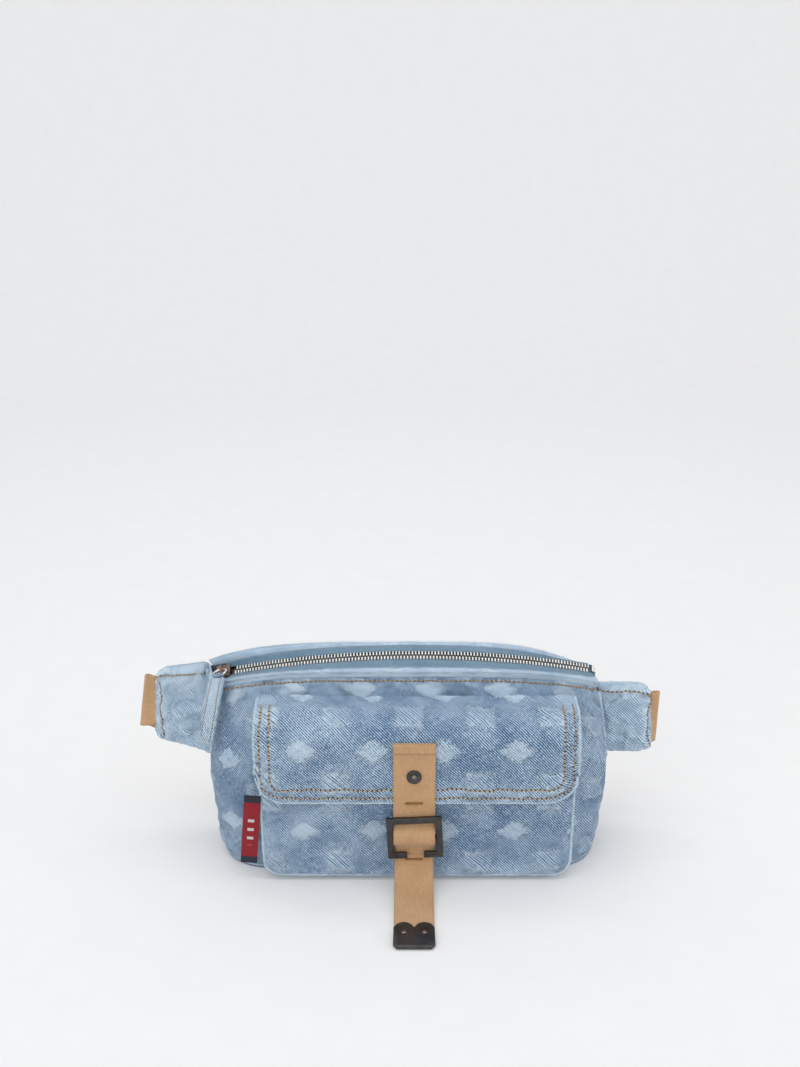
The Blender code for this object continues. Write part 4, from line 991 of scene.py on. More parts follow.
sides = 8
turn = 2 * np.pi * (np.arange(sides) + 0.5) / sides
tooth = []
for reach, wide, high in ((0.0, 0.50, 0.62), (0.10, 0.92, 0.98), (0.34, 1.0, 1.0), (0.50, 0.72, 0.90),
                          (0.75, 0.82, 1.0), (0.92, 0.80, 0.95), (1.0, 0.5, 0.7)):
    for a in turn:
        cosine, sine = math.cos(a), math.sin(a)
        x = math.copysign(abs(cosine) ** 0.6, cosine) * wide * TOOTH_W / 2
        z = math.copysign(abs(sine) ** 0.6, sine) * high * TOOTH_H
        tooth.append((x, lerp(*TOOTH_REACH, reach), z))
for sign, name in ((1, "front"), (-1, "rear")):
    step = TOOTH_PITCH / ZIP_LENGTH
    t = np.arange(ZIP_START + (0.25 if sign > 0 else 0.75) * step, ZIP_END, step)
    tangent, outward = zip_frame(t)
    across = np.broadcast_to(ZIP_FRONT * sign, tangent.shape)
    teeth = many("teeth_" + name, np.array(tooth), ring_faces(7, sides), zip_point(t),
                 np.stack([tangent, across, outward], 1), SILVER)
    keep(teeth, "root", "zip_metal", "zip_teeth_" + name)
    cord_t = np.linspace(ZIP_START, ZIP_END, 200)
    cord_path = zip_point(cord_t) + ZIP_FRONT * sign * 0.0037 - zip_frame(cord_t)[1] * 0.0001
    keep(tube("tape_cord_" + name, cord_path, 0.00065, TAPE, 8, 0.1, 85), "root", "zip_tape")

t = np.linspace(0.035, 0.985, 240)
under = np.stack([zip_point(t) + ZIP_FRONT * reach - zip_frame(t)[1] * 0.0036
                  for reach in np.linspace(0.0040, -0.0040, 7)])
keep(Sheet(under).build("chain_underlay", 0.0004, CHAIN_CLOTH, None, 0.0), "root", "zip_tape")
keep(refined("zip_bottom_stop", 0.0005, SILVER), "root", "zip_metal", "zip_bottom_stop")
keep(refined("zip_slider", 0.0002, COPPERY), "slider", "zip_metal", "zip_slider")
tangent, outward = (line[0] for line in zip_frame(np.array([SLIDER_AT])))
slider_at = zip_point(np.array([SLIDER_AT]))[0]
bridge_at = slider_at + outward * (SLIDER_T / 2 + SLIDER_CENTRE + BRIDGE_STAND)
angles = np.linspace(0, math.pi, 18)[:, None]
arch = bridge_at + ZIP_FRONT * BRIDGE_R * np.cos(angles) + outward * BRIDGE_R * np.sin(angles)
keep(tube("slider_arch", arch, 0.00075, COPPERY), "slider", "zip_metal", "slider_bridge")
hold = bridge_at + outward * (BRIDGE_R - 0.0017)
ring_way = unit(np.array([-0.14, -0.98, -0.12]))
ring_at, ring_bottom = hold + ring_way * RING_R, hold + ring_way * 2 * RING_R
ring_across = unit(np.cross(np.cross(ring_way, tangent), ring_way))
turn = np.linspace(0, 2 * math.pi, 49)[:, None]
ring_path = ring_at + ring_across * RING_R * np.cos(turn) + ring_way * RING_R * np.sin(turn)
keep(tube("ring_wire", ring_path, RING_WIRE_R, SILVER), "ring", "zip_metal", "pull_ring")

top_way, end_way = unit(np.array(TAB_TOP_DIRECTION)), unit(np.array(TAB_END_DIRECTION))
tab_middle, tab_width = [ring_bottom + top_way * 0.0023], []
steps = 44
for k in range(steps):
    way = unit(lerp(top_way, end_way, min(1, 2.2 * k / (steps - 1))))
    tab_width.append(unit(np.cross(np.cross(way, tangent), way)))
    tab_middle.append(tab_middle[-1] + way * TAB_LENGTH / steps)
tab_middle, tab_width = np.array(tab_middle[:-1])[::-1], np.array(tab_width)[::-1]
across = np.linspace(-0.5, 0.5, 12)[None, :, None]
tab = Sheet(tab_middle[:, None] + tab_width[:, None] * across * TAB_WIDTH)
tab.push(0.00025 * wave_noise(tab.u, tab.v, 0.006, 91))
tab.wear += 0.15
keep(tab.build("tab_cloth", TAB_T, DENIM_PALE, None, 0.0), "tab", "denim", "pull_tab")
for sign, name in SIDES:
    edge = tab_middle + tab_width * sign * (TAB_WIDTH / 2 - 0.0006)
    keep(tube("tab_edge_" + name, edge, 0.00125, DENIM_PLAIN, 8, 0.15, 93 + sign), "tab", "denim")
lines = [column_path(tab, place, 0.06, 0.98, 0.0012) for place in (0.2, 0.8)]
lines.append(row_path(tab, 0.06, 0.2, 0.8, 0.0012))
keep(stitches("tab_stitching", lines, 0.0030, 0.0023, 0.00036), "tab", "thread")
turn = np.linspace(-2.2, 2.2, 14)
loop_up = unit(np.cross(ring_across, top_way))
loop = [[ring_bottom - top_way * 0.0017 * math.cos(a) + loop_up * 0.0017 * math.sin(a)
         + ring_across * s * 0.0038 for s in np.linspace(-1, 1, 6)] for a in turn]
keep(Sheet(np.array(loop)).build("tab_loop", 0.0008, DENIM_PLAIN, None, 0.0), "tab", "denim")


# ---------------------------------------------------------------- pocket and flap

def rounded_low(x, span, radius):
    """How far a lower edge rises in its rounded corners."""
    reach = np.minimum(x - span[0], span[1] - x)
    rounding = radius - np.sqrt(np.maximum(0, radius ** 2 - np.maximum(0, radius - reach) ** 2))
    return np.where(reach >= radius, 0, rounding)


def pocket_formula(u, v, inset=0.0):
    x = lerp(POCKET_X[0], POCKET_X[1], lerp(u, 0.5 - 0.5 * np.cos(np.pi * u), 0.35))
    low = POCKET_Z[0] + rounded_low(x, POCKET_X, POCKET_CORNER_R)
    spread = 2 * (x - POCKET_X[0]) / (POCKET_X[1] - POCKET_X[0]) - 1
    y = POCKET_Y - 0.001 * (1 - spread ** 2) + inset
    return np.stack([x, y + 0 * v, lerp(low, POCKET_Z[1], v)], -1)


def under_strap(points):
    """0 under the front strap, 1 beside it."""
    return smooth(0.016, 0.024, np.abs(points[..., 0] - STRAP_X))


pocket = cloth_sheet(pocket_formula, 0.035, 0.0013, 101, (POCKET_X[0], POCKET_MOTIF_V))
pocket.u = pocket.points[..., 0].copy()
pocket.v = pocket.points[..., 2] - 0.0165
seam_pull(pocket, edge_distance(pocket, "left", "right", "bottom"), 103, 0.0003, 0.0020)
keep(pocket.build("pocket_cloth", DENIM_T, DENIM, LINING), "root", "denim", "pocket_front")
keep(motif_fringe("pocket_yarns", pocket, (0.02, 0.98), (0.02, 0.60), 107), "root", "denim")

angles = np.linspace(0, math.pi / 2, 14)
centre_z = POCKET_Z[0] + POCKET_CORNER_R
foot_x = np.linspace(POCKET_X[0] + POCKET_CORNER_R, POCKET_X[1] - POCKET_CORNER_R, 70)[1:-1]
side_z = np.linspace(POCKET_Z[1], centre_z, 30)[:-1]
x = np.concatenate([np.full(29, POCKET_X[0]), POCKET_X[0] + POCKET_CORNER_R * (1 - np.cos(angles)), foot_x,
                    POCKET_X[1] - POCKET_CORNER_R * (1 - np.sin(angles)), np.full(29, POCKET_X[1])])
z = np.concatenate([side_z, centre_z - POCKET_CORNER_R * np.sin(angles), np.full(68, POCKET_Z[0]),
                    centre_z - POCKET_CORNER_R * np.cos(angles), np.linspace(centre_z, POCKET_Z[1], 30)[1:]])
rise = POCKET_BACK_RISE * (z - POCKET_Z[0]) / (POCKET_Z[1] - POCKET_Z[0])
near = np.stack([x, np.full(len(x), POCKET_Y + 0.0004), z], -1)
far = np.stack([x, front_y(x, z + rise) + 0.0002, z + rise], -1)
depth = np.linspace(0, 1, 12)
gusset = Sheet(lerp(near[None], far[None], depth[:, None, None]))
gusset.push(0.0004 * wave_noise(gusset.u, gusset.v, 0.012, 109) * np.sin(np.pi * depth)[:, None])
gusset.wear += 0.2
keep(gusset.build("pocket_side_cloth", DENIM_T, LINING, DENIM_PLAIN, -1.0), "root", "denim", "pocket_gusset")
for name, line, ahead, radius, rough, seed in (("pocket_ridge", near, 0.0002, 0.0010, 0.30, 111),
                                               ("pocket_foot", far, 0.0006, 0.0009, 0.25, 113)):
    keep(tube(name, line + np.array([0, -ahead, 0]), radius, DENIM_PALE, 8, rough, seed), "root", "denim")
inner = Sheet(grid(60, 24, lambda u, v: pocket_formula(lerp(0.03, 0.97, u), lerp(0.12, 0.97, v), 0.0022)))
keep(inner.build("pocket_lining_cloth", 0.0005, LINING), "root", "lining", "pocket_lining")
hem = row_path(pocket, 0.985, 0.01, 0.99)[0] + np.array([0, 0.0008, 0.001])
keep(tube("pocket_hem", hem, 0.0011, DENIM_FRAYED, 8, 0.25, 115), "root", "denim")


def flap_formula(u, v, inset=0.0, margin=0.0, tuck=FLAP_TUCK):
    """v runs from the flap's hem to its seam; its last part tucks back to the body."""
    span = (FLAP_X[0] + margin, FLAP_X[1] - margin)
    x = lerp(span[0], span[1], lerp(u, 0.5 - 0.5 * np.cos(np.pi * u), 0.35))
    s = np.clip(1 - v / (1 - tuck), 0, 1)
    reach_y, reach_z = FLAP_HINGE_Y - FLAP_FRONT_Y - inset, FLAP_HINGE_Z - FLAP_SHOULDER_Z - inset
    angle = np.pi * np.clip(s, 0, 0.5)
    y = FLAP_HINGE_Y - reach_y * np.sin(angle) ** 0.9
    z = FLAP_SHOULDER_Z + reach_z * np.maximum(np.cos(angle), 0) ** 0.9
    z = np.where(s > 0.5, lerp(FLAP_SHOULDER_Z, FLAP_BOTTOM_Z, (s - 0.5) * 2), z)
    y = np.where(s > 0.5, FLAP_FRONT_Y + inset, y)
    edge = rounded_low(x, span, FLAP_CORNER_R) + margin
    z = z + edge * np.maximum(0, (s - 0.5) * 2)
    back = np.clip((v - (1 - tuck)) / tuck, 0, 1) if tuck else 0 * v
    body_z = FLAP_HINGE_Z + 0.0028 - 0.004 * (np.abs(x) / 0.118) ** 4
    body_y = front_y(x, body_z) - 0.0002
    ease = back ** 0.8
    return np.stack([x, lerp(y, body_y, ease), lerp(z, body_z, back)], -1)


flap = cloth_sheet(flap_formula, 0.030, 0.0010, 121, (FLAP_X[0], FLAP_MOTIF_V), under_strap)
flap.u = flap.points[..., 0].copy()
hem_distance = edge_distance(flap, "bottom", "left", "right")
for inset, seed in zip(FLAP_PULL_INSETS, (123, 124)):
    seam_pull(flap, np.abs(hem_distance - inset), seed, 0.00035, 0.0013)
flap.push(0.0012 + 0 * flap.u)


def on_flap(obj, slot, *nodes):
    bend(obj, ("root", "flap"), (0, FLAP_HINGE_Y, FLAP_HINGE_Z), (0, -0.030, 0.128), slot, *nodes)


# The flap's underside takes the darker denim, painted shade
on_flap(flap.build("flap_cloth", DENIM_T, DENIM, DENIM_DARK), "denim", "flap_outer")
on_flap(motif_fringe("flap_yarns", flap, (0.05, 0.95), (0.10, 0.88), 127), "denim")
inner = Sheet(grid(90, 40, lambda u, v: flap_formula(u, lerp(0, 0.9, v), 0.0006, 0.0022)))
inner.push(0.0001 * wave_noise(inner.u, inner.v, 0.015, 129))
on_flap(inner.build("flap_lining_cloth", 0.0007, LINING), "lining", "flap_lining")


def flap_row(distance):
    """A stitching path round the flap's hem at a distance from its edge."""
    radius = FLAP_CORNER_R - distance
    inner_x = (FLAP_X[0] + FLAP_CORNER_R, FLAP_X[1] - FLAP_CORNER_R)
    inner_z = FLAP_BOTTOM_Z + FLAP_CORNER_R
    side_z, arc = np.linspace(FLAP_SHOULDER_Z, inner_z, 12), np.linspace(0, math.pi / 2, 20)[1:-1]
    x = np.concatenate([np.full(12, inner_x[0] - radius), inner_x[0] - radius * np.cos(arc),
                        np.linspace(*inner_x, 120), inner_x[1] + radius * np.sin(arc),
                        np.full(12, inner_x[1] + radius)])
    z = np.concatenate([side_z, inner_z - radius * np.sin(arc), np.full(120, inner_z - radius),
                        inner_z - radius * np.cos(arc), side_z[::-1]])
    fall = (FLAP_SHOULDER_Z - z) / (FLAP_SHOULDER_Z - FLAP_BOTTOM_Z - rounded_low(x, FLAP_X, FLAP_CORNER_R))
    fv = (0.5 - fall / 2) * (1 - FLAP_TUCK)
    middle = flap.points[flap.points.shape[0] // 2, :, 0]
    fu = np.interp(x, middle, np.linspace(0, 1, len(middle)))
    rise = np.linspace(0.87, fv[0], 16)[:-1]
    fu = np.concatenate([np.full(15, fu[0]), fu, np.full(15, fu[-1])])
    points, normals = flap.at(fu, np.concatenate([rise, fv, rise[::-1]]))
    return points + normals * 0.0003, normals


on_flap(stitches("flap_stitching", [flap_row(inset) for inset in FLAP_ROW_INSETS]), "thread")
hem_u = np.concatenate([np.zeros(30), np.linspace(0, 1, 160), np.ones(30)])
hem_v = np.concatenate([np.linspace(0.98, 0, 30), np.zeros(160), np.linspace(0, 0.98, 30)])
hem_line, hem_normals = flap.at(hem_u, hem_v)
on_flap(tube("flap_hem", hem_line - hem_normals * 0.0007, 0.00105, DENIM_PALE, 8, 0.2, 131), "denim")


# ---------------------------------------------------------------- front strap

def webbing(name, middles, halves, thickness=BELT_T, cell=0.0013, columns=14, seed=0):
    """A strap through middle points with the half-width vector at each, with firm rounded edges."""
    middles, halves = np.asarray(middles, float), np.asarray(halves, float)
    distance = line_lengths(middles)
    dense = np.linspace(0, distance[-1], max(6, int(distance[-1] / cell)))
    middle, half = (interp_rows(dense, distance, rows) for rows in (middles, halves))
    for _ in range(3):
        middle[1:-1] = middle[1:-1] * 0.5 + (middle[:-2] + middle[2:]) * 0.25
    across = np.linspace(-1, 1, columns)[None, :, None]
    strap = Sheet(middle[:, None] + half[:, None] * across)
    strap.push(0.00012 * wave_noise(strap.u, strap.v, 0.010, seed + 3))
    strap.wear += 0.3 * np.abs(across[0, :, 0]) ** 6
    return strap.build(name, thickness, WEBBING, None, 0.0)


def strap_path(points, width, x):
    middles = [(x, y, z) for y, z in points]
    return middles, [(width / 2, 0, 0)] * len(points)


upper = [(STRAP_Y, TAIL_BEND_Z[0]), (STRAP_Y, 0.0312), (-0.0524, 0.0335), (-0.0565, 0.0380), (-0.0569, 0.0415),
         (-0.0565, 0.0450), (-0.0524, 0.0495), (STRAP_Y, 0.0520), (STRAP_Y, 0.0592), (STRAP_Y, 0.0700),
         (STRAP_Y, 0.0900), (STRAP_Y, STRAP_TOP_Z)]
piece = webbing("strap_upper", *strap_path(upper, STRAP_W, STRAP_X + 0.0002), 0.0014, 0.0011)
bend(piece, ("flap", "hook"), *((STRAP_X, STRAP_Y, z) for z in HOOK_BEND_Z), "webbing",
     "flap_strap", "strap_in_buckle")
lower = [(-0.1125, 0.0017), (-0.1020, 0.0017), (-0.0920, 0.0020), (-0.0810, 0.0030), (-0.0710, 0.0050),
         (-0.0630, 0.0082), (-0.0570, 0.0128), (-0.0535, 0.0180), (-0.0515, 0.0232), (STRAP_Y, TAIL_BEND_Z[0])]
middles, halves = strap_path(lower, TAIL_W, STRAP_X)
halves[-1] = (STRAP_W / 2, 0, 0)
piece = webbing("strap_lower", middles, halves, 0.0012, 0.0011, seed=5)
bend(piece, ("hook", "tail"), *((STRAP_X, STRAP_Y, z) for z in TAIL_BEND_Z), "webbing", "strap_tail")
fold_line = [(STRAP_X + 0.0149 * s, STRAP_Y - 0.0001, STRAP_TOP_Z - 0.0004) for s in np.linspace(-1, 1, 30)]
keep(tube("strap_fold", fold_line, 0.00105, WEBBING, 8, 0.1, 141), "flap", "webbing")

turned = [(STRAP_Y - 0.0012, STRAP_TOP_Z - 0.0072), (STRAP_Y - 0.0012, STRAP_TOP_Z - 0.0012),
          (STRAP_Y - 0.0006, STRAP_TOP_Z + 0.0002)]
piece = webbing("strap_turn", *strap_path(turned, TURN_W, STRAP_X + 0.0001), 0.0009, 0.0011, seed=7)
keep(piece, "flap", "webbing")
snap_at = (STRAP_X, STRAP_Y - 0.0007, SNAP_Z)
cap_profile = [(0.0004, 0.0011), (0.0019, 0.0011), (0.0022, 0.0008), (0.0026, 0.0012), (0.0040, 0.0018),
               (0.0048, 0.0014), (0.0053, 0.0004), (0.0052, 0.0), (0.0003, 0.0)]
keep(lathe("snap_washer", cap_profile, snap_at, (0, -1, 0), GUNMETAL), "flap", "gunmetal", "snap_cap")
centre_profile = [(0.0002, 0.00185), (0.0010, 0.00175), (0.0018, 0.00135), (0.0020, 0.0008), (0.0003, 0.0008)]
keep(lathe("snap_centre", centre_profile, snap_at, (0, -1, 0), COPPERY), "flap", "gunmetal")
keep(refined("snap_stud", 0.0003, GUNMETAL), "flap", "gunmetal", "snap_stud")
keep(refined("snap_socket", 0.0003, GUNMETAL), "root", "gunmetal", "snap_socket")


def bar_tack(name, centre, normal):
    """Dense close stitches side by side."""
    rows = []
    normal = unit(np.array(normal, float))
    up = unit(np.cross(normal, (1, 0, 0)))
    for k in range(19):
        x = lerp(-0.0060, 0.0060, k / 18)
        ends = np.array(centre) + np.array([x, 0, 0]) + up * np.linspace(-0.0008, 0.0008, 6)[:, None]
        lift = 0.00045 * np.sin(np.linspace(0, math.pi, 6))[:, None]
        rows.append(ends + normal * lift)
    index = np.concatenate([rows[k] if k % 2 else rows[k][::-1] for k in range(19)])
    return tube(name, index, 0.00034, TACK_THREAD, 6)


tack = bar_tack("tack_upper", (STRAP_X, STRAP_Y - 0.0008, 0.0676), (0, -1, 0))
keep(tack, "flap", "thread", "bar_tack_upper")
tack = bar_tack("tack_lower", (STRAP_X, -0.0524, 0.0222), (0, -1, 0.15))
keep(tack, "tail", "thread", "bar_tack_lower")
keep(refined("hook_buckle", 0.0011, GUNMETAL, 4), "hook", "gunmetal", "hook_buckle")
keep(refined("strap_tip", 0.00025, GUNMETAL, 2), "tail", "gunmetal", "strap_tip")
rivet = [(0.0003, 0.00075), (0.0010, 0.00068), (0.0018, 0.00035), (0.0021, 0.0), (0.0003, 0.0)]
for side, name in SIDES:
    keep(lathe("rivet_" + name, rivet, (STRAP_X + side * TIP_W / 4, -0.1170, 0.0035), (0, 0, 1), COPPERY),
         "tail", "gunmetal", "tip_rivet_" + name)

cosine, sine = math.cos(LABEL_TILT), math.sin(LABEL_TILT)
label_x, label_up = np.array([cosine, 0, -sine]), np.array([sine, 0, cosine])
label = Sheet(grid(16, 60, lambda u, v: LABEL_AT + label_x * ((u - 0.5) * LABEL_W)[..., None]
                   + label_up * ((v - 0.5) * LABEL_H)[..., None]
                   - np.array([0, 0.0006, 0]) * (np.sin(np.pi * v) * np.sin(np.pi * u))[..., None]))
label.push(0.00015 * wave_noise(label.u, label.v, 0.01, 151))
keep(label.build("label_cloth", 0.0007, label_cloth("label_weave"), None, 0.0), "root", "label", "side_label")


# ---------------------------------------------------------------- wings

def wing_formula(wing, lift):
    side = wing["side"]

    def formula(u, v):
        s = u if side > 0 else 1 - u
        s = lerp(s, np.sin(np.pi / 2 * s), 0.45)
        outer_x = lerp(wing["outer_x"][1], wing["outer_x"][0], v)
        inner_x = lerp(wing["inner_x"][0], wing["inner_x"][1], v)
        low = lerp(wing["inner_z"][0], wing["outer_z"][0], 1 - (1 - s) ** 2)
        high = lerp(wing["inner_z"][1], wing["outer_z"][1], s)
        reach = np.minimum((1 - s) * (outer_x - inner_x), WING_CORNER_R)
        corner = WING_CORNER_R - np.sqrt(np.maximum(0, WING_CORNER_R ** 2 - (WING_CORNER_R - reach) ** 2))
        x = lerp(inner_x, outer_x, s)
        inner, outer = wing["inner_x"][0], wing["outer_x"][1]
        y = lerp(wing["y"][0], wing["y"][1], np.clip((x - inner) / (outer - inner), 0, 1))
        thin = 1 - np.maximum(np.abs(2 * v - 1) ** 8, smooth(0.9, 1.0, s))
        y = y + lift * (0.30 + 0.70 * thin)
        return np.stack([side * x, y, lerp(low + 0.8 * corner, high - 0.8 * corner, v)], -1)
    return formula


for wing, name, seed in ((WING_LEFT, "left", 161), (WING_RIGHT, "right", 171)):
    for ply, lift in (("front", -WING_PLY), ("back", WING_PLY)):
        formula = wing_formula(wing, lift)
        if ply == "front":
            sheet = cloth_sheet(formula, 0.13, 0.0042, seed, cell=0.0011, outward=True)
        else:
            sheet = cloth_sheet(lambda u, v, formula=formula: formula(1 - u, v), 0.03, 0.0009, seed + 1,
                                outward=True)
        crumple = wave_noise(sheet.u, sheet.v, 0.011, seed + 2)
        sheet.push(0.0009 * np.abs(crumple) * smooth(0, 0.008, edge_distance(sheet)))
        sheet.wear += 0.25 * np.clip(crumple, 0, 1)
        crease(sheet, 0.017, seed + 4, 0.0017, 0.35, [smooth(0, 0.006, edge_distance(sheet))])
        outer_edge = "left" if (wing["side"] < 0) == (ply == "front") else "right"
        rows_at = [np.abs(edge_distance(sheet, side) - inset)
                   for side, inset in zip((outer_edge, "top"), WING_ROW_INSETS)]
        seam_pull(sheet, np.minimum(*rows_at), seed + 3, 0.0005, 0.0014)
        material = DENIM_PALE if ply == "front" else DENIM_PLAIN
        keep(sheet.build("wing_%s_%s_cloth" % (name, ply), DENIM_T, material, LINING, 0.0), "root", "denim",
             "wing_%s_%s" % (name, ply))
        outer_u, top_v = share(sheet, WING_ROW_INSETS[0], 0), 1 - share(sheet, WING_ROW_INSETS[1], 1)
        outer_u = outer_u if outer_edge == "left" else 1 - outer_u
        paths = row_path(sheet, top_v, 0.04, 0.96, 0.0008), column_path(sheet, outer_u, 0.06, 0.9, 0.0008)
        keep(stitches("wing_%s_%s_stitching" % (name, ply), paths), "root", "thread")
        if ply == "front":
            steps = np.linspace(0, 1, 60)
            loop_u = np.concatenate([steps, np.ones(60), steps[::-1]])
            loop_v = np.concatenate([np.zeros(60), steps, np.ones(60)])
            if wing["side"] < 0:
                loop_u = 1 - loop_u
            seam, _ = sheet.at(np.full(60, 1.0 if wing["side"] < 0 else 0.0), steps)
            seam = seam + np.array([0, 0.0012, 0])
            keep(tube("wing_%s_seam" % name, seam, 0.0024, DENIM_PLAIN, 10, 0.15, seed + 7), "root", "denim")
            rim, normals = sheet.at(loop_u, loop_v)
            keep(tube("wing_%s_edge" % name, rim - normals * 0.0004, 0.0012, DENIM_FRAYED, 8, 0.22, seed + 5),
                 "root", "denim")


# ---------------------------------------------------------------- belt and buckle

def half_width(direction, along_fold=None):
    """Half-width vector of a strap that runs along an XZ direction, cut along its fold if it has one."""
    if along_fold is None:
        across = np.array([-direction[1], direction[0]]) * BELT_W / 2
    else:
        across = along_fold * (BELT_W / 2) / abs(along_fold[0] * direction[1] - along_fold[1] * direction[0])
    if across[1] < 0:
        across = -across
    return np.array([across[0], 0, across[1]])


def fold(point, incoming, outgoing, y_in, y_out):
    """Middle points and half-widths where a strap folds over from one direction and layer to another."""
    both = incoming + outgoing
    half = half_width(incoming, unit(both) if np.linalg.norm(both) > 1e-3 else np.array([0.0, 1.0]))
    turned = point + incoming * abs(y_out - y_in) * 0.45
    middle = (turned[0], (y_in + y_out) / 2, turned[1])
    return [(point[0], y_in, point[1]), middle, (point[0], y_out, point[1])], [half] * 3


def wing_y(wing, x):
    inner, outer = wing["inner_x"][0], wing["outer_x"][1]
    return lerp(wing["y"][0], wing["y"][1], min(1, (abs(x) - inner) / (outer - inner)))


corner = np.array(BELT_LEFT_FOLD)
wing_run, down = unit(np.array([-1, -0.12])), np.array([math.cos(BELT_SLOPE), -math.sin(BELT_SLOPE)])
middles, halves = [], []
for back_by in (0.030, 0.008):
    place = corner - wing_run * back_by
    middles.append((place[0], wing_y(WING_LEFT, place[0]), place[1]))
    halves.append(half_width(wing_run))
more, widths = fold(corner, wing_run, down, BELT_LEFT_Y[0], BELT_LEFT_Y[1])
middles, halves = middles + more, halves + widths
curve = math.tan(BELT_SLOPE) ** 2 / (4 * (corner[1] - BELT_SAG_Z))
flat_at = math.tan(BELT_SLOPE) / (2 * curve)
for part in (0.12, 0.28, 0.46, 0.64, 0.82, 1):
    x = flat_at * part
    slope = unit(np.array([1, -math.tan(BELT_SLOPE) * (1 - part)]))
    z = corner[1] - math.tan(BELT_SLOPE) * x + curve * x * x
    middles.append((corner[0] + x, BELT_LEFT_Y[1], z))
    halves.append(half_width(slope))
far_x, near_x = BELT_FOLD_X
rising = unit(np.array([near_x - far_x, BELT_Z - BELT_SAG_Z]))
more, widths = fold(np.array([far_x, BELT_SAG_Z]), np.array([1.0, 0]), rising, BELT_LEFT_Y[1], BELT_LEFT_Y[2])
middles, halves = middles + more, halves + widths
middles.append(((far_x + near_x) / 2, BELT_LEFT_Y[2], (BELT_SAG_Z + BELT_Z) / 2))
halves.append(half_width(rising))
more, widths = fold(np.array([near_x, BELT_Z]), rising, np.array([1.0, 0]), BELT_LEFT_Y[2], BELT_LEFT_Y[3])
middles, halves = middles + more, halves + widths
piece = webbing("belt_long", middles, halves, BELT_T, 0.0016, 20, 181)
keep(piece, "root", "webbing", "belt_left")

run_x, run_y = middles[-1][0], middles[-1][1]
rail, returning = MALE_START + 0.002, run_y + BELT_LAYER
run = [(run_x + 0.003, run_y), (0.010, run_y), (0.034, run_y - 0.0012), (rail - 0.008, BUCKLE_Y - 0.0032),
       (rail + 0.0035, BUCKLE_Y - 0.0030), (rail + 0.0055, BUCKLE_Y), (rail + 0.0035, BUCKLE_Y + 0.0030),
       (rail - 0.006, BUCKLE_Y + 0.0044), (0.036, returning), (0.010, returning), (BELT_TAIL_X, returning)]
piece = webbing("belt_length", [(x, y, BELT_Z) for x, y in run], [(0, 0, BELT_W / 2)] * len(run), BELT_T,
                   0.0013, 20, 185)
bend(piece, ("root", "male"), *((x, BUCKLE_Y, BELT_Z) for x in RUN_BEND_X), "webbing", "belt_run")

right = [(x, wing_y(WING_RIGHT, x), 0.0945) for x in (0.158, 0.1835)] + [(0.1868, 0.0348, 0.0945)]
rail = FEMALE_END - 0.0015
right += [(0.1875, 0.0375, 0.0945), (0.1862, 0.0398, 0.0939), (0.178, 0.0435, 0.0905), (0.166, 0.0472, 0.0840),
          (rail + 0.006, BUCKLE_Y - 0.0034, BELT_Z + 0.0006), (rail - 0.0035, BUCKLE_Y - 0.0029, BELT_Z),
          (rail - 0.0052, BUCKLE_Y, BELT_Z), (rail - 0.0035, BUCKLE_Y + 0.0029, BELT_Z),
          (rail + 0.006, BUCKLE_Y + 0.0032, BELT_Z + 0.0006), (0.168, 0.0518, 0.0846), (0.176, 0.0490, 0.0890)]
piece = webbing("belt_short", right, [(0, 0, BELT_W / 2)] * len(right), BELT_T, 0.0013, 20, 187)
keep(piece, "root", "webbing", "belt_right")
keep(refined("buckle_female", 0.0007, PLASTIC), "root", "black_plastic", "buckle_female")
keep(refined("buckle_male", 0.0006, PLASTIC), "male", "black_plastic", "buckle_male")
keep(refined("belt_keeper", 0.0004, PLASTIC), "keeper", "black_plastic", "belt_keeper")


# ---------------------------------------------------------------- floor, light and camera

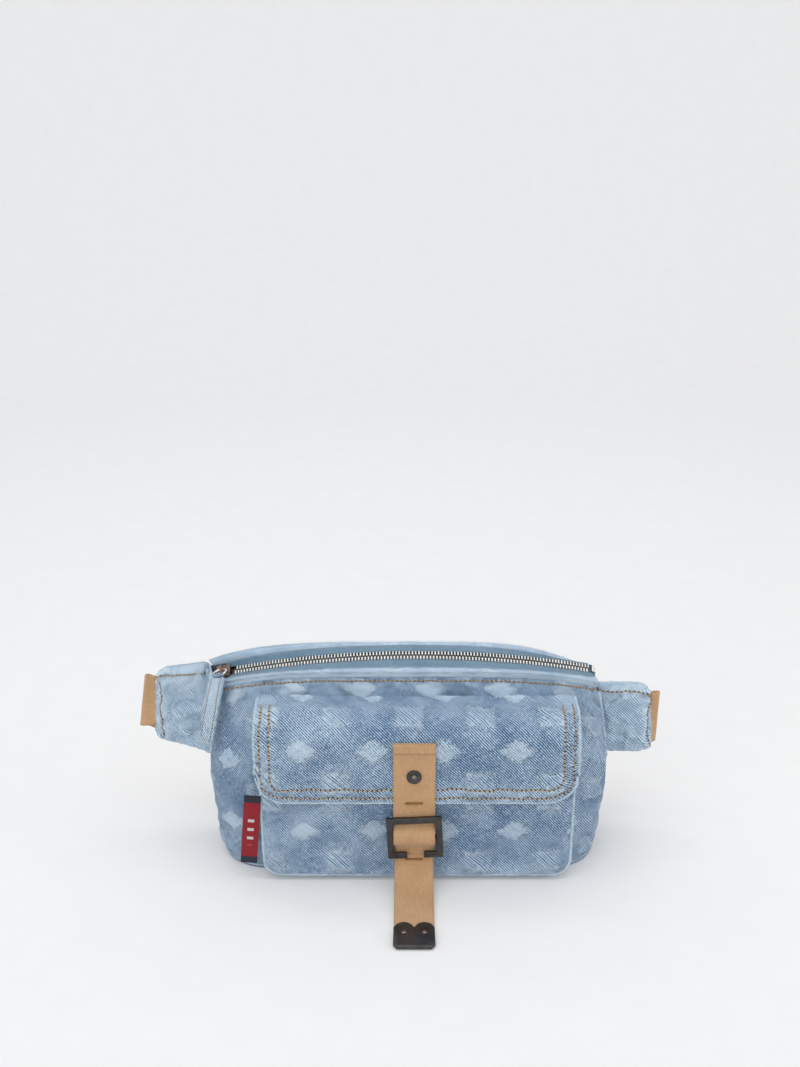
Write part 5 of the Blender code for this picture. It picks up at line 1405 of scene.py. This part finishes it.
# A wide bowl, flat under the pack, so that no horizon shows from any side
FLOOR_FLAT_R, FLOOR_BEND_R, FLOOR_WALL_Z, FLOOR_SIDES = 1.7, 0.9, 3.6, 96
profile = [(0.001, 0.0), (0.6, 0.0), (FLOOR_FLAT_R, 0.0)]
profile += [(FLOOR_FLAT_R + FLOOR_BEND_R * math.sin(a), FLOOR_BEND_R * (1 - math.cos(a)))
            for a in np.linspace(0, math.pi / 2, 14)[1:]]
profile += [(FLOOR_FLAT_R + FLOOR_BEND_R, FLOOR_WALL_Z)]
turn = 2 * np.pi * np.arange(FLOOR_SIDES) / FLOOR_SIDES
points = np.array([[(r * math.cos(a), r * math.sin(a), z - 0.0001) for a in turn] for r, z in profile])
open_top = ring_faces(len(profile), FLOOR_SIDES)[:1 - FLOOR_SIDES // 2]
floor = mesh_object("floor", points.reshape(-1, 3), open_top)
paper = Surface("pale_floor", {"Roughness": 0.9, "Emission Color": (1, 1, 1, 1), "Emission Strength": 0.10})
speck = paper.noise(paper.place(), 30.0, 3.0)
paper.link(paper.ramp(speck, ((0.3, (0.785, 0.785, 0.785)), (0.7, (0.800, 0.800, 0.800)))), "Base Color")
floor.data.materials.append(paper.material)


def area_light(name, place, size, power, aim=(0, 0, 0.06)):
    data = bpy.data.lights.new(name, "AREA")
    data.shape = "RECTANGLE"
    data.size, data.size_y = size
    data.energy = power
    obj = add_object(name, data)
    obj.location = place
    obj.rotation_euler = (Vector(aim) - Vector(place)).to_track_quat("-Z", "Y").to_euler()


area_light("overhead", (-0.15, -0.25, 1.5), (1.6, 1.4), 7.0)
area_light("front_fill", (-0.7, -1.5, 0.9), (1.2, 1.0), 4.6)
area_light("backdrop_light", (0, 0.9, 2.3), (2.2, 1.0), 10.6, (0, 2.6, 0.4))
area_light("right_fill", (1.5, -0.5, 0.9), (1.0, 1.0), 3.0)

world = bpy.data.worlds.new("studio")
world.use_nodes = True
for key, value in (("Color", (0.95, 0.97, 1.0, 1)), ("Strength", 0.62)):
    world.node_tree.nodes["Background"].inputs[key].default_value = value
SCENE.world = world

ELEVATION, DISTANCE, AIM = math.radians(27), 0.95, Vector((0, 0, 0.07))
SENSOR_MM, LENS_MM, SHIFT = 36.0, 57.97, (-0.011, 0.2915)
camera_data = bpy.data.cameras.new("camera")
camera_data.sensor_fit, camera_data.sensor_width, camera_data.lens = "HORIZONTAL", SENSOR_MM, LENS_MM
camera_data.shift_x, camera_data.shift_y = SHIFT
camera = add_object("camera", camera_data)
camera.location = AIM + Vector((0, -math.cos(ELEVATION), math.sin(ELEVATION))) * DISTANCE
camera.rotation_euler = (AIM - camera.location).to_track_quat("-Z", "Y").to_euler()
SCENE.camera = camera
SCENE.view_settings.view_transform = "Standard"

bpy.context.view_layer.update()
